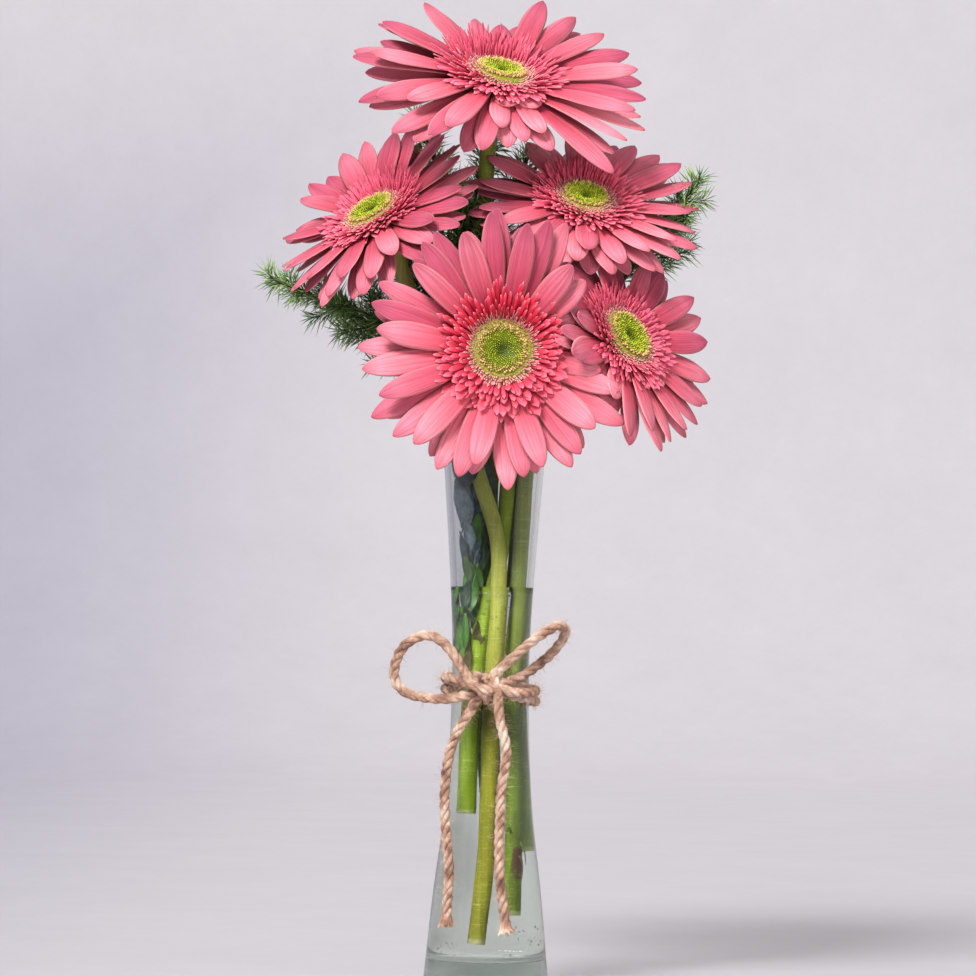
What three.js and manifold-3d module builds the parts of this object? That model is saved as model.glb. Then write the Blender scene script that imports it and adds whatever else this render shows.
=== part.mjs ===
// Five gerberas in a clear glass bud vase, with fern sprays behind them and a bow of jute twine round
// the waist. Millimetres, +Z up. The origin is the middle of the foot, and the front faces -Y.
import * as THREE from 'three';
import { mergeVertices } from 'three/addons/utils/BufferGeometryUtils.js';
import Module from 'manifold-3d';

const wasm = await Module();
wasm.setup();

// Vase and water: [radius, height] on the outer wall, which a smooth curve joins
const VASE_OUTLINE = [[26.3, 3], [22.7, 40], [18.1, 79], [16.2, 125], [17.3, 166], [22.6, 240]];
const FOOT_ROUNDING = 1.6;
const WALL = 2.7;
const BASE_THICKNESS = 12;
const WATER_LEVEL = 168;
const VASE_SIDES = 24;
const OUTER_STEPS = 8;
const INNER_STEPS = 4;
const CLEARANCE = 0.35;

// Blooms: centre of the disc's face, the way it faces, reach of the rays, radius of the disc, mean tilt of
// the rays and how much more the upper ones rise (degrees), and the reach of the inner crown. Each easing
// shortens and bends the rays near a neighbour: azimuth, half width, share cut off, and tilt, in degrees.
const BLOOMS = [
  { centre: [0, 0, 385], facing: [0.2, -0.42, 0.88], reach: 63.5, disc: 12.8, tilt: -4, rise: 14,
    crown: 32, easings: [[-84, 68, -0.05, 17], [-14, 24, 0.24, 0], [176, 34, 0.34, 0]] },
  { centre: [-53, 0, 325.4], facing: [-0.48, -0.44, 0.76], reach: 53, disc: 12.4, tilt: 0, rise: 4,
    crown: 27, easings: [[38, 62, -0.05, 14], [160, 50, 0.1, 0], [-50, 40, 0.08, 0]] },
  { centre: [36.5, 5, 333], facing: [0.19, -0.56, 0.8], reach: 50, disc: 12, tilt: 0, rise: 2,
    crown: 27.5, easings: [[-55, 55, -0.12, 9], [134, 18, 0.2, 0], [180, 40, 0.1, 0]] },
  { centre: [2.4, -50, 265.6], facing: [0.05, -0.98, 0.19], reach: 59, disc: 14, tilt: 6, rise: 13,
    crown: 29.5, easings: [[-60, 30, 0.23, 0], [-81, 31, 0.27, -14], [190, 60, 0.06, 0]] },
  { centre: [54.6, -22, 273.5], facing: [0.68, -0.55, 0.49], reach: 50, disc: 13, tilt: 0, rise: 2,
    crown: 26.5, easings: [[128, 30, 0.27, -11], [87, 22, 0, 11], [70, 24, 0.28, 0], [26, 34, 0.2, -8],
      [-80, 52, -0.05, 13]] },
];

// Rays: three layers, from the longest and lowest to the shortest and highest
const LAYERS = [
  { count: 12, share: 1.0, sink: 5.8, lean: -4 },
  { count: 12, share: 0.97, sink: 4.4, lean: 0 },
  { count: 12, share: 0.88, sink: 3.0, lean: 4 },
];
const RAY_WIDTH = 10.8;
const RAY_THICKNESS = 1.2;
const RAY_ARCH = 16;
const RAY_STATIONS = [0, 0.42, 0.8];

// Crown of short petals round the disc: its rise is how much more the upper ones stand up than the lower
const CROWN = {
  count: 16, sink: 2.1, width: 4.8, thickness: 1.4, lean: 22, rise: 5, arch: -10, stations: [0, 0.6],
};

const CORE_DEPTH = 8.6;
const CORE_SIDES = 8;

// Stems: points from under the head down to the cut end
const STEM_RADIUS = 3.2;
const STEM_SIDES = 8;
const STEM_STEPS = 11;
const CUP_DEPTH = 15;
const BRACTS = 8;
const STEMS = [
  [[-5.2, 19.6, 350], [-5.4, 21.3, 330], [-2.6, 16, 285], [0, 9.6, 240], [-1, 9, 214], [-1.5, 8.3, 180],
    [-1.3, 7.3, 125], [0.5, 6, 82]],
  [[-40, 10, 300], [-27, 8, 268], [-15.5, 0.5, 243], [-6, -6, 214], [1.7, -7.6, 188], [2.6, -8.2, 163],
    [0.6, -7.8, 121], [-0.5, -8, 58], [-3.5, -8.5, 19]],
  [[32.5, 10, 305], [26, 10.5, 278], [18, 8.6, 255], [13.4, 6.6, 238], [11.7, 5.7, 214], [9.8, 4.9, 180],
    [6.7, 5.4, 125], [11.5, 3.4, 57]],
  [[2.5, -25, 261], [4, -15, 253], [5.4, -8, 240], [5.8, -4, 225], [5.4, -1.5, 205], [3, 0.3, 180],
    [-0.8, -0.3, 163], [-5.6, -0.5, 125], [-7.2, -1, 73]],
  [[38, -11, 262], [28, -8.5, 258.5], [16.2, -6, 245], [13.6, -5, 225], [11.2, -3.4, 180], [8.2, -2.8, 125],
    [9, -4, 79], [8.6, -6, 31]],
];

// Fern: each spray is a twig with branches, given by points from the root out, and their count of needles
const TWIG_RADIUS = 0.9;
const TWIG_SIDES = 4;
const NEEDLE_LENGTH = 8;
const NEEDLE_WIDTH = 0.9;
const FERNS = {
  fern_left: [
    { points: [[-9.3, 4.6, 137], [-9.6, 6, 155], [-11, 8, 200], [-13.2, 10, 236], [-15, 11.2, 244],
      [-24, 15, 258], [-45, 18, 274], [-70, 20, 287], [-99.5, 20, 300]], needles: 28, from: 0.62 },
    { points: [[-24, 15, 258], [-38, 13, 264], [-56, 12, 269], [-76, 12, 278]], needles: 18, from: 0.25 },
    { points: [[-24, 15, 258], [-33, 20, 275], [-38, 24, 295], [-36, 26, 315]], needles: 10, from: 0.3 },
  ],
  fern_back: [
    { points: [[2.8, 10.8, 150], [4, 12.6, 200], [2.4, 15.2, 236], [-3, 20, 262], [-10, 26, 290],
      [-19, 32, 330], [-36, 36, 368]], needles: 22, from: 0.55 },
    { points: [[-10, 26, 290], [-2, 30, 310], [6, 33, 330], [12, 35, 352]], needles: 14, from: 0.2 },
  ],
  fern_right: [
    { points: [[8.4, 10.4, 172], [8.8, 12.4, 214], [10.4, 14, 240], [24, 22, 262], [45, 27, 290],
      [68, 34, 316], [86, 33, 342]], needles: 22, from: 0.62 },
  ],
};

// Twine: the vase's waist, the two turns round it, and the routes of the bow
const TWINE_RADIUS = 2.1;
const TWINE_SIDES = 8;
const LOOP_STEPS = 14;
const TAIL_STEPS = 12;
const WRAP_LEVELS = [130, 121.5];
const WRAP_TILT = 3.5;
const WRAP_START = -112;
const WRAP_SWEEP = 682;
const WRAP_STEPS = 30;
const WRAP_CLEARANCE = 0.6;
const KNOT = [
  [[-10, -22.4, 131.6], [-6.8, -25.2, 128.6], [-3.4, -26, 124.4], [-0.8, -23.8, 121]],
  [[-8, -22.8, 123.8], [0, -23.4, 125.6], [6.8, -22.6, 128.6]],
  [[3.4, -24, 133.6], [1.2, -25.2, 131.6], [1.8, -26.6, 128.6], [2.9, -26.9, 124.6], [3.4, -26.4, 119.5]],
];
const LOOP_LEFT = [[-11.2, -22.1, 133.2], [-14.9, -22.6, 139.2], [-21.3, -22.4, 145.9], [-27.5, -22, 147.8],
  [-35.8, -21.4, 143.5], [-39.8, -21, 135.2], [-39.7, -20.6, 128.9], [-35.4, -20.6, 124],
  [-25, -21.4, 121.7], [-16.5, -22.2, 121.7], [-8.6, -22.8, 123.6]];
const LOOP_RIGHT = [[4.6, -24.1, 134.8], [8.4, -24.6, 138.4], [16.1, -25, 145.3], [22.3, -24.6, 149.9],
  [28, -22.4, 152.7], [30.8, -18.2, 150.6], [29.2, -16, 146.2], [24.5, -15.8, 140.4], [18.4, -18, 135.2],
  [13.2, -20.8, 131.6], [7.4, -22.5, 128.9]];
const TAIL_LEFT = [[-6.1, -23.3, 120.6], [-9.2, -24, 115], [-12.4, -23.4, 110], [-15.2, -22.1, 103.5],
  [-17.1, -21.3, 96], [-18.2, -20.6, 84.4], [-18, -20.2, 73.2], [-16.9, -20.2, 61.6], [-15.9, -20.6, 50.4],
  [-16.5, -20.5, 35.9], [-16.4, -20.8, 27.5]];
const TAIL_RIGHT = [[3.4, -26.4, 119], [4.2, -26.4, 113], [6.9, -26, 101.7], [6.2, -25.8, 91.3],
  [5.1, -25.6, 84.7], [4.9, -25.4, 73.5], [4.7, -25.2, 58.9], [5.3, -25.1, 47.7], [6.8, -25.1, 36],
  [8.6, -25.2, 25.2]];

const radians = THREE.MathUtils.degToRad;
const vector = (p) => new THREE.Vector3(...p);

// A repeatable draw between 0 and 1 for item i of kind k
function draw(i, k) {
  const wave = Math.sin(i * 12.9898 + k * 78.233) * 43758.5453;
  return wave - Math.floor(wave);
}

// A closed three.js geometry as a solid that can be joined and cut
function solid(geometry) {
  const bare = geometry.clone();
  bare.deleteAttribute('normal');
  bare.deleteAttribute('uv');
  const merged = mergeVertices(bare, 1e-4);
  return new wasm.Manifold(new wasm.Mesh({
    numProp: 3,
    vertProperties: new Float32Array(merged.attributes.position.array),
    triVerts: new Uint32Array(merged.index.array),
  }));
}

// A solid back as a three.js geometry
function geometryOf(body) {
  const { vertProperties, triVerts } = body.getMesh();
  const geometry = new THREE.BufferGeometry();
  geometry.setAttribute('position', new THREE.BufferAttribute(new Float32Array(vertProperties), 3));
  geometry.setIndex(new THREE.BufferAttribute(new Uint32Array(triVerts), 1));
  return geometry;
}

// Several closed geometries fused into one
function fuse(geometries) {
  return geometryOf(geometries.map(solid).reduce((body, next) => body.add(next)));
}

// A regular polygon as the section of a tube
function roundSection(radius, sides) {
  const corners = Array.from({ length: sides }, (_, i) => {
    const angle = (2 * Math.PI * i) / sides;
    return new THREE.Vector2(radius * Math.cos(angle), radius * Math.sin(angle));
  });
  return new THREE.Shape(corners);
}

// A closed tube along points
function tube(points, radius, sides, steps) {
  const extrudePath = new THREE.CatmullRomCurve3(points.map(vector));
  return new THREE.ExtrudeGeometry(roundSection(radius, sides), { steps, extrudePath, bevelEnabled: false });
}

// A turned body about the Z axis from [radius, height] pairs
function turned(profile, sides) {
  const points = profile.map(([r, z]) => new THREE.Vector2(r, z));
  return new THREE.LatheGeometry(points, sides).rotateX(Math.PI / 2);
}

// A closed body through rings of four points, with a fan at the root and a point at the tip. The ring runs
// left edge, top, right edge, bottom, and both faces are split alike.
function loft(rings, tip) {
  const positions = rings.flat().concat([tip]).flatMap((p) => p.toArray());
  const around = rings[0].length;
  const last = (rings.length - 1) * around;
  const index = [];
  for (let i = 1; i < around - 1; i += 1) {
    index.push(0, i + 1, i);
  }
  for (let row = 0; row < last; row += around) {
    for (let i = 0; i < around; i += 1) {
      const a = row + i;
      const b = row + ((i + 1) % around);
      const [c, d] = [a + around, b + around];
      index.push(...(i % 2 === 0 ? [a, b, d, a, d, c] : [a, b, c, b, d, c]));
    }
  }
  for (let i = 0; i < around; i += 1) {
    index.push(last + i, last + ((i + 1) % around), last + around);
  }
  const geometry = new THREE.BufferGeometry();
  geometry.setAttribute('position', new THREE.Float32BufferAttribute(positions, 3));
  geometry.setIndex(index);
  return geometry;
}

// The axes of a bloom: its middle, the way it faces, the upward way in its plane, and the third axis
function bloomAxes(bloom) {
  const facing = vector(bloom.facing).normalize();
  const up = new THREE.Vector3(0, 0, 1).projectOnPlane(facing).normalize();
  return { centre: vector(bloom.centre), facing, up, side: facing.clone().cross(up) };
}

// Breadth of a ray at share s of its length, against its greatest
function rayBreadth(s) {
  const widest = 0.62;
  return s < widest
    ? 0.36 + 0.64 * Math.sin((Math.PI / 2) * (s / widest))
    : Math.sqrt(Math.max(0, 1 - ((s - widest) / (1 - widest)) ** 2.6));
}

// One blade: it leaves the core at an azimuth, rises at tilt and bends over by arch on its way
function blade(axes, { azimuth, root, sink, length, tilt, arch, width, thickness, sway, stations }) {
  const outward = axes.up.clone().applyAxisAngle(axes.facing, azimuth);
  const across = axes.facing.clone().cross(outward);
  const start = tilt + arch / 2;
  const middle = (s) => axes.centre.clone()
    .addScaledVector(outward, root + (length * (Math.sin(start) - Math.sin(start - arch * s))) / arch)
    .addScaledVector(axes.facing, -sink + (length * (Math.cos(start - arch * s) - Math.cos(start))) / arch)
    .addScaledVector(across, sway * length * s * s);
  const ring = (s) => {
    const slope = start - arch * s;
    const upper = axes.facing.clone().applyAxisAngle(across, -slope);
    const half = (width / 2) * rayBreadth(s);
    const at = (w, h) => middle(s).addScaledVector(across, w).addScaledVector(upper, h);
    return [at(half, 0), at(0, thickness / 2), at(-half, 0), at(0, -thickness / 2)];
  };
  return loft(stations.map(ring), middle(1));
}

// Tilt of a bloom's blades at an azimuth, and the share of their length that is left there
function localShape(bloom, azimuth) {
  let [tilt, share] = [bloom.tilt + bloom.rise * Math.cos(azimuth), 1];
  bloom.easings.forEach(([middle, halfWidth, cut, bend]) => {
    const turn = THREE.MathUtils.euclideanModulo(azimuth - radians(middle) + Math.PI, 2 * Math.PI);
    const away = Math.abs(turn - Math.PI) / radians(halfWidth);
    const effect = away < 1 ? Math.sqrt(Math.cos((away * Math.PI) / 2)) : 0;
    tilt += bend * effect;
    share -= cut * effect;
  });
  return { tilt: radians(tilt), share };
}

// All rays of a bloom, layer by layer
function rays(bloom, axes, seed) {
  const root = bloom.disc - 2.5;
  return LAYERS.flatMap(({ count, share, sink, lean }, layer) => Array.from({ length: count }, (_, i) => {
    const item = seed * 100 + layer * 20 + i;
    const azimuth = (2 * Math.PI * (i + layer / 3 + 0.22 * (draw(item, 1) - 0.5))) / count;
    const local = localShape(bloom, azimuth);
    return blade(axes, {
      azimuth,
      root,
      sink,
      length: (bloom.reach * local.share - root) * share * (0.96 + 0.08 * draw(item, 2)),
      tilt: local.tilt + radians(lean + 2 * (draw(item, 3) - 0.5)),
      arch: radians(RAY_ARCH),
      width: RAY_WIDTH * (0.92 + 0.16 * draw(item, 4)),
      thickness: RAY_THICKNESS,
      sway: 0.06 * (draw(item, 5) - 0.5),
      stations: RAY_STATIONS,
    });
  }));
}

// The crown of short petals round the disc
function crown(bloom, axes, seed) {
  const root = bloom.disc + 0.2;
  return Array.from({ length: CROWN.count }, (_, i) => {
    const item = seed * 100 + 80 + i;
    const azimuth = (2 * Math.PI * (i + 0.3 * (draw(item, 1) - 0.5))) / CROWN.count;
    const outer = i % 2 === 0;
    const lean = CROWN.lean + CROWN.rise * Math.cos(azimuth) + (outer ? 0 : 10);
    return blade(axes, {
      azimuth,
      root,
      sink: CROWN.sink,
      length: (bloom.crown - root) * (outer ? 1 : 0.75),
      tilt: localShape(bloom, azimuth).tilt + radians(lean),
      arch: radians(CROWN.arch),
      width: CROWN.width,
      thickness: CROWN.thickness,
      sway: 0,
      stations: CROWN.stations,
    });
  });
}

// Sets a turned body's Z axis along a bloom's face
function faced(geometry, axes) {
  const basis = new THREE.Matrix4().makeBasis(axes.side.clone().negate(), axes.up, axes.facing);
  return geometry.applyMatrix4(basis.setPosition(axes.centre));
}

// Pink part of a bloom: its core, the rays and the crown
function petals(bloom, seed) {
  const axes = bloomAxes(bloom);
  const rim = bloom.disc + 2;
  const coreProfile = [[0, -CORE_DEPTH], [6.5, -CORE_DEPTH], [rim, -3.2], [rim, -0.8], [0, -0.8]];
  const core = faced(turned(coreProfile, CORE_SIDES), axes);
  return fuse([core, ...rays(bloom, axes, seed), ...crown(bloom, axes, seed)]);
}

// Middle of a bloom: a low dome whose florets stand as a relief of alternate bumps
function disc(bloom) {
  const axes = bloomAxes(bloom);
  const sides = 16;
  const rings = [[1, 0.5], [0.82, 1.9], [0.56, 1.4], [0.28, 0.8]];
  const relief = 0.5;
  const top = rings.map(([r, h]) => [r * bloom.disc, h]);
  const geometry = turned([[0, -0.45], [bloom.disc, -0.45], ...top, [0, 0.3]], sides);
  const place = geometry.attributes.position;
  for (let i = 0; i < place.count; i += 1) {
    const radius = Math.hypot(place.getX(i), place.getY(i));
    if (radius > 0.1 * bloom.disc && radius < 0.95 * bloom.disc) {
      const sector = Math.round((Math.atan2(place.getY(i), place.getX(i)) / (2 * Math.PI)) * sides);
      const band = Math.round((radius / bloom.disc) * 5);
      place.setZ(i, place.getZ(i) + relief * ((((sector + band) % 2) + 2) % 2));
    }
  }
  return faced(geometry, axes);
}

// A stem's whole route: out of the back of the head, then through the given points
function stemRoute(bloom, points) {
  const { centre, facing } = bloomAxes(bloom);
  const below = (depth) => centre.clone().addScaledVector(facing, -depth).toArray();
  return [below(CUP_DEPTH - 2), below(CUP_DEPTH + 4), ...points];
}

// Green part of a bloom: the bare stem, with the cup of pointed bracts that holds the core
function stem(bloom, points) {
  const axes = bloomAxes(bloom);
  const top = CORE_DEPTH + CLEARANCE;
  const cupProfile = [[0, -CUP_DEPTH], [STEM_RADIUS, -CUP_DEPTH], [7.6, -11], [8.2, -top], [0, -top]];
  const bracts = Array.from({ length: BRACTS }, (_, i) => blade(axes, {
    azimuth: (2 * Math.PI * (i + 0.5)) / BRACTS,
    root: 5.2,
    sink: 11.2,
    length: 8.2,
    tilt: radians(14),
    arch: radians(-16),
    width: 8,
    thickness: 1.6,
    sway: 0,
    stations: [0],
  }));
  const stalk = tube(stemRoute(bloom, points), STEM_RADIUS, STEM_SIDES, STEM_STEPS);
  return fuse([stalk, faced(turned(cupProfile, CORE_SIDES), axes), ...bracts]);
}

const twigSteps = (points) => points.length * 2;

// The hole that a stem or twig leaves in the water: its tube, wider and longer at both ends
function hole(points, radius, sides, steps) {
  const beyond = (end, next) => vector(end).sub(vector(next)).setLength(1).add(vector(end)).toArray();
  const first = beyond(points[0], points[1]);
  const last = beyond(points.at(-1), points.at(-2));
  return tube([first, ...points.slice(1, -1), last], radius + CLEARANCE, sides, steps);
}

// Radius of the vase's outer wall at a height, from the smooth curve through its outline
const outline = new THREE.SplineCurve(VASE_OUTLINE.map(([r, z]) => new THREE.Vector2(r, z)));
function wallRadius(height) {
  let [low, high] = [0, 1];
  for (let i = 0; i < 30; i += 1) {
    const middle = (low + high) / 2;
    [low, high] = outline.getPoint(middle).y < height ? [middle, high] : [low, middle];
  }
  return outline.getPoint(low).x;
}

// Points on the wall between two heights, moved in by an offset
function wallPoints(from, to, steps, inset) {
  return Array.from({ length: steps + 1 }, (_, i) => {
    const height = from + ((to - from) * i) / steps;
    return [wallRadius(height) - inset, height];
  });
}

// The wetted stretch of the wall, from above the base up to the water's surface
const innerWall = (inset) => wallPoints(BASE_THICKNESS + 3, WATER_LEVEL, INNER_STEPS, inset);

function vaseGlass() {
  const [foot, rim] = [VASE_OUTLINE[0][1], VASE_OUTLINE.at(-1)[1]];
  const outside = wallPoints(foot, rim, OUTER_STEPS, 0);
  const inside = [...wallPoints(rim - 0.8, WATER_LEVEL, 2, WALL), ...innerWall(WALL).reverse().slice(1)];
  const lip = [outside.at(-1)[0] - WALL / 2, rim + 1];
  const corner = [inside.at(-1)[0] - 2.5, BASE_THICKNESS + 0.6];
  return turned([[0, 0], [outside[0][0] - FOOT_ROUNDING, 0], ...outside, lip, ...inside, corner,
    [0, BASE_THICKNESS]], VASE_SIDES);
}

function water() {
  const side = innerWall(WALL + CLEARANCE);
  const corner = [side[0][0] - 2.5, BASE_THICKNESS + 0.6 + CLEARANCE];
  const profile = [[0, BASE_THICKNESS + CLEARANCE], corner, ...side, [0, WATER_LEVEL]];
  const holes = [
    ...STEMS.map((points, i) => hole(stemRoute(BLOOMS[i], points), STEM_RADIUS, STEM_SIDES, STEM_STEPS)),
    ...[FERNS.fern_left, FERNS.fern_back].map(([{ points }]) => (
      hole(points, TWIG_RADIUS, TWIG_SIDES, twigSteps(points))
    )),
  ];
  const body = solid(turned(profile, VASE_SIDES));
  return geometryOf(holes.map(solid).reduce((left, next) => left.subtract(next), body));
}

// One needle: a three-sided spike with its root in the twig
function needle(root, direction) {
  const across = new THREE.Vector3(0.3, 0.5, 0.81).cross(direction).normalize();
  const upper = direction.clone().cross(across);
  const corner = (angle) => root.clone()
    .addScaledVector(across, (NEEDLE_WIDTH / 2) * Math.cos(angle))
    .addScaledVector(upper, (NEEDLE_WIDTH / 2) * Math.sin(angle));
  const ring = [0, 1, 2].map((i) => corner((2 * Math.PI * i) / 3));
  return loft([ring], root.clone().addScaledVector(direction, NEEDLE_LENGTH));
}

const GOLDEN_ANGLE = Math.PI * (3 - Math.sqrt(5));

// A spray of fern: its twigs, and needles set round them by the golden angle out to the tips
function fern(branches, seed) {
  const twigs = branches.map(({ points }) => tube(points, TWIG_RADIUS, TWIG_SIDES, twigSteps(points)));
  const needles = branches.flatMap(({ points, needles: count, from }, branch) => {
    const path = new THREE.CatmullRomCurve3(points.map(vector));
    return Array.from({ length: count }, (_, i) => {
      const at = from + ((1 - from) * i) / (count - 0.9);
      const along = path.getTangentAt(at);
      const side = new THREE.Vector3(0, 0, 1).cross(along).normalize();
      const out = side.applyAxisAngle(along, i * GOLDEN_ANGLE + seed + branch);
      return needle(path.getPointAt(at), out.addScaledVector(along, 0.75).normalize());
    });
  });
  return fuse([...twigs, ...needles]);
}

// Two turns of twine round the waist, from behind the knot to behind the knot
function twineWrap() {
  const [high, low] = WRAP_LEVELS;
  const points = Array.from({ length: WRAP_STEPS + 1 }, (_, i) => {
    const share = i / WRAP_STEPS;
    const angle = radians(WRAP_START + WRAP_SWEEP * share);
    const height = high + (low - high) * share - WRAP_TILT * Math.cos(angle);
    const radius = wallRadius((high + low) / 2) + TWINE_RADIUS + WRAP_CLEARANCE;
    return [radius * Math.cos(angle), radius * Math.sin(angle), height];
  });
  return tube(points, TWINE_RADIUS, TWINE_SIDES, WRAP_STEPS);
}

const GLASS = { color: '#c9d6d2', roughness: 0.05, metalness: 0, transparent: true, opacity: 0.35 };
const WATER = { color: '#dfe9e2', roughness: 0.02, metalness: 0, transparent: true, opacity: 0.3 };
const PETAL = { color: '#e2667c', roughness: 0.6, metalness: 0 };
const DISC = { color: '#9bb53c', roughness: 0.8, metalness: 0 };
const STEM = { color: '#7f9440', roughness: 0.55, metalness: 0 };
const FERN = { color: '#3f6a32', roughness: 0.7, metalness: 0 };
const TWINE = { color: '#c29674', roughness: 0.95, metalness: 0 };

const gerberas = new THREE.Group();

function place(name, geometry, look) {
  const mesh = new THREE.Mesh(geometry, new THREE.MeshStandardMaterial(look));
  mesh.name = name;
  gerberas.add(mesh);
}

place('vase_glass', vaseGlass(), GLASS);
place('water', water(), WATER);
BLOOMS.forEach((bloom, i) => {
  place(`petals_${i + 1}`, petals(bloom, i + 1), PETAL);
  place(`disc_${i + 1}`, disc(bloom), DISC);
  place(`stem_${i + 1}`, stem(bloom, STEMS[i]), STEM);
});
Object.entries(FERNS).forEach(([name, branches], i) => place(name, fern(branches, i), FERN));
place('twine_wrap', twineWrap(), TWINE);
place('twine_knot', fuse(KNOT.map((points) => tube(points, TWINE_RADIUS, TWINE_SIDES, 6))), TWINE);
place('twine_loop_left', tube(LOOP_LEFT, TWINE_RADIUS, TWINE_SIDES, LOOP_STEPS), TWINE);
place('twine_loop_right', tube(LOOP_RIGHT, TWINE_RADIUS, TWINE_SIDES, LOOP_STEPS), TWINE);
place('twine_tail_left', tube(TAIL_LEFT, TWINE_RADIUS, TWINE_SIDES, TAIL_STEPS), TWINE);
place('twine_tail_right', tube(TAIL_RIGHT, TWINE_RADIUS, TWINE_SIDES, TAIL_STEPS), TWINE);

export default gerberas;
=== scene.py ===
"""Five coral gerberas with fern in a clear glass bud vase, tied with a jute bow.

Sizes are given in millimetres and angles in degrees. The scene is in metres, +Z is up, the front faces -Y."""
import math

import bpy
import numpy as np
from mathutils import Matrix, Vector


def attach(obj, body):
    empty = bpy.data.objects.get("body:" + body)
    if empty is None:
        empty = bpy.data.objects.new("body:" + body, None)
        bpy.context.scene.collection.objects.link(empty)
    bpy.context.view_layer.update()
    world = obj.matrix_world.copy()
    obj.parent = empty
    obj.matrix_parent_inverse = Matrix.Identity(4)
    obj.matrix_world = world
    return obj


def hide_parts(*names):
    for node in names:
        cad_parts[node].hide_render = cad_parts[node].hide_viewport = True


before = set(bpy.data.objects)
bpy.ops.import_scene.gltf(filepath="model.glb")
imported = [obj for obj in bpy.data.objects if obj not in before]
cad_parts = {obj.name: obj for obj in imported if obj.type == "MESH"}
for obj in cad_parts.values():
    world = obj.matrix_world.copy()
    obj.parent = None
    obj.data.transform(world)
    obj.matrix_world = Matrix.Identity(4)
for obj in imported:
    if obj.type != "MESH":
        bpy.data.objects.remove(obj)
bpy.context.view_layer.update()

# The vase: one piece of clear soda-lime glass, blown thick, waisted, with a heavy foot. The wall is 2.7 mm
# thick and the base 12 mm; the lip is fire polished, so its edge is round.
MM = 0.001
VASE_OUTLINE = [[26.3, 3], [22.7, 40], [18.1, 79], [16.2, 125], [17.3, 166], [22.6, 240]]
FOOT_RING = 6
FOOT_ROUNDING = 1.6
FOOT_EDGE = 2.2
WALL = 2.7
WALL_FROM = 4
WALL_TO = 239
WALL_ROWS = 70
LIP_HEIGHT = 239.6
BASE_THICKNESS = 12
INNER_CORNER = 3
POLE = 0.02
VASE_SIDES = 144


def smooth(points, steps, power=0.25):
    """A Catmull-Rom curve through points: centripetal at power 0.25, uniform at 0. Steps are to a span."""
    p = np.array(points, float)
    p = np.vstack([p[0], p, p[-1]] if power == 0 else [2 * p[0] - p[1], p, 2 * p[-1] - p[-2]])
    t = np.linspace(0, 1, steps, endpoint=False)[:, None]
    spans = []
    for a, b, c, d in zip(p, p[1:], p[2:], p[3:]):
        before, here, after = (((v - u) @ (v - u)) ** power for u, v in ((a, b), (b, c), (c, d)))
        leave = ((b - a) / before - (c - a) / (before + here)) * here + (c - b)
        arrive = ((d - c) / after - (d - b) / (here + after)) * here + (c - b)
        spans.append(b + leave * t + (3 * (c - b) - 2 * leave - arrive) * t**2
                     + (2 * (b - c) + leave + arrive) * t**3)
    return np.vstack([*spans, p[-2:-1]])


def even(points, count):
    """The same line with count points at even distances."""
    points = np.asarray(points, float)
    run = np.concatenate([[0], np.cumsum(np.linalg.norm(np.diff(points, axis=0), axis=1))])
    at = np.linspace(0, run[-1], count)
    return np.stack([np.interp(at, run, points[:, k]) for k in range(3)], 1)


def skin(name, rings):
    """A closed mesh over rings of points, with a fan at each end."""
    rings = np.asarray(rings, float)
    rows, around = rings.shape[:2]
    points = np.vstack([rings.reshape(-1, 3), rings[0].mean(0), rings[-1].mean(0)])
    first, last = rows * around, rows * around + 1
    faces = []
    for i in range(around):
        j = (i + 1) % around
        faces.append((j, i, first))
        faces.append(((rows - 1) * around + i, (rows - 1) * around + j, last))
        for row in range(0, (rows - 1) * around, around):
            faces.append((row + i, row + j, row + around + j, row + around + i))
    mesh = bpy.data.meshes.new(name)
    mesh.from_pydata(points.tolist(), [], faces)
    mesh.validate()
    mesh.shade_smooth()
    return mesh


def turned(name, profile, sides):
    """A turned body from [radius, height] in millimetres, from the bottom up, with closed poles."""
    angles = np.linspace(0, 2 * math.pi, sides, endpoint=False)
    rings = [[(r * math.cos(a) * MM, r * math.sin(a) * MM, z * MM) for a in angles] for r, z in profile]
    return skin(name, rings)


def linear(code, alpha=1.0):
    """An sRGB hex colour as linear RGBA."""
    parts = [int(code[i:i + 2], 16) / 255 for i in (1, 3, 5)]
    return (*(c / 12.92 if c <= 0.04045 else ((c + 0.055) / 1.055) ** 2.4 for c in parts), alpha)


def add(tree, kind, inputs=(), stops=None, **settings):
    """Adds a node. Inputs maps a socket's name or number to a value, to an output, or to a node, of which
    the first output in use is taken. Stops are a ramp's colours or a curve's heights by position."""
    node = tree.nodes.new(kind)
    for name, value in settings.items():
        setattr(node, name, value)
    if stops and kind == "ShaderNodeValToRGB":
        ends = node.color_ramp.elements
        ends[0].position, ends[-1].position = min(stops), max(stops)
        for spot, code in sorted(stops.items()):
            stop = {min(stops): ends[0], max(stops): ends[-1]}.get(spot) or ends.new(spot)
            stop.color = linear(code)
    elif stops:
        line = node.mapping.curves[0]
        while len(line.points) < len(stops):
            line.points.new(0.5, 0.5)
        for point, spot in zip(line.points, sorted(stops.items())):
            point.location = spot
        node.mapping.update()
    for socket, value in dict(inputs).items():
        if isinstance(value, bpy.types.Node):
            value = next(output for output in value.outputs if output.enabled)
        if isinstance(value, bpy.types.NodeSocket):
            tree.links.new(value, node.inputs[socket])
        else:
            node.inputs[socket].default_value = value
    return node


def material(name):
    """An empty material and its node tree."""
    made = bpy.data.materials.new(name)
    made.use_nodes = True
    made.node_tree.nodes.clear()
    return made, made.node_tree


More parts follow.
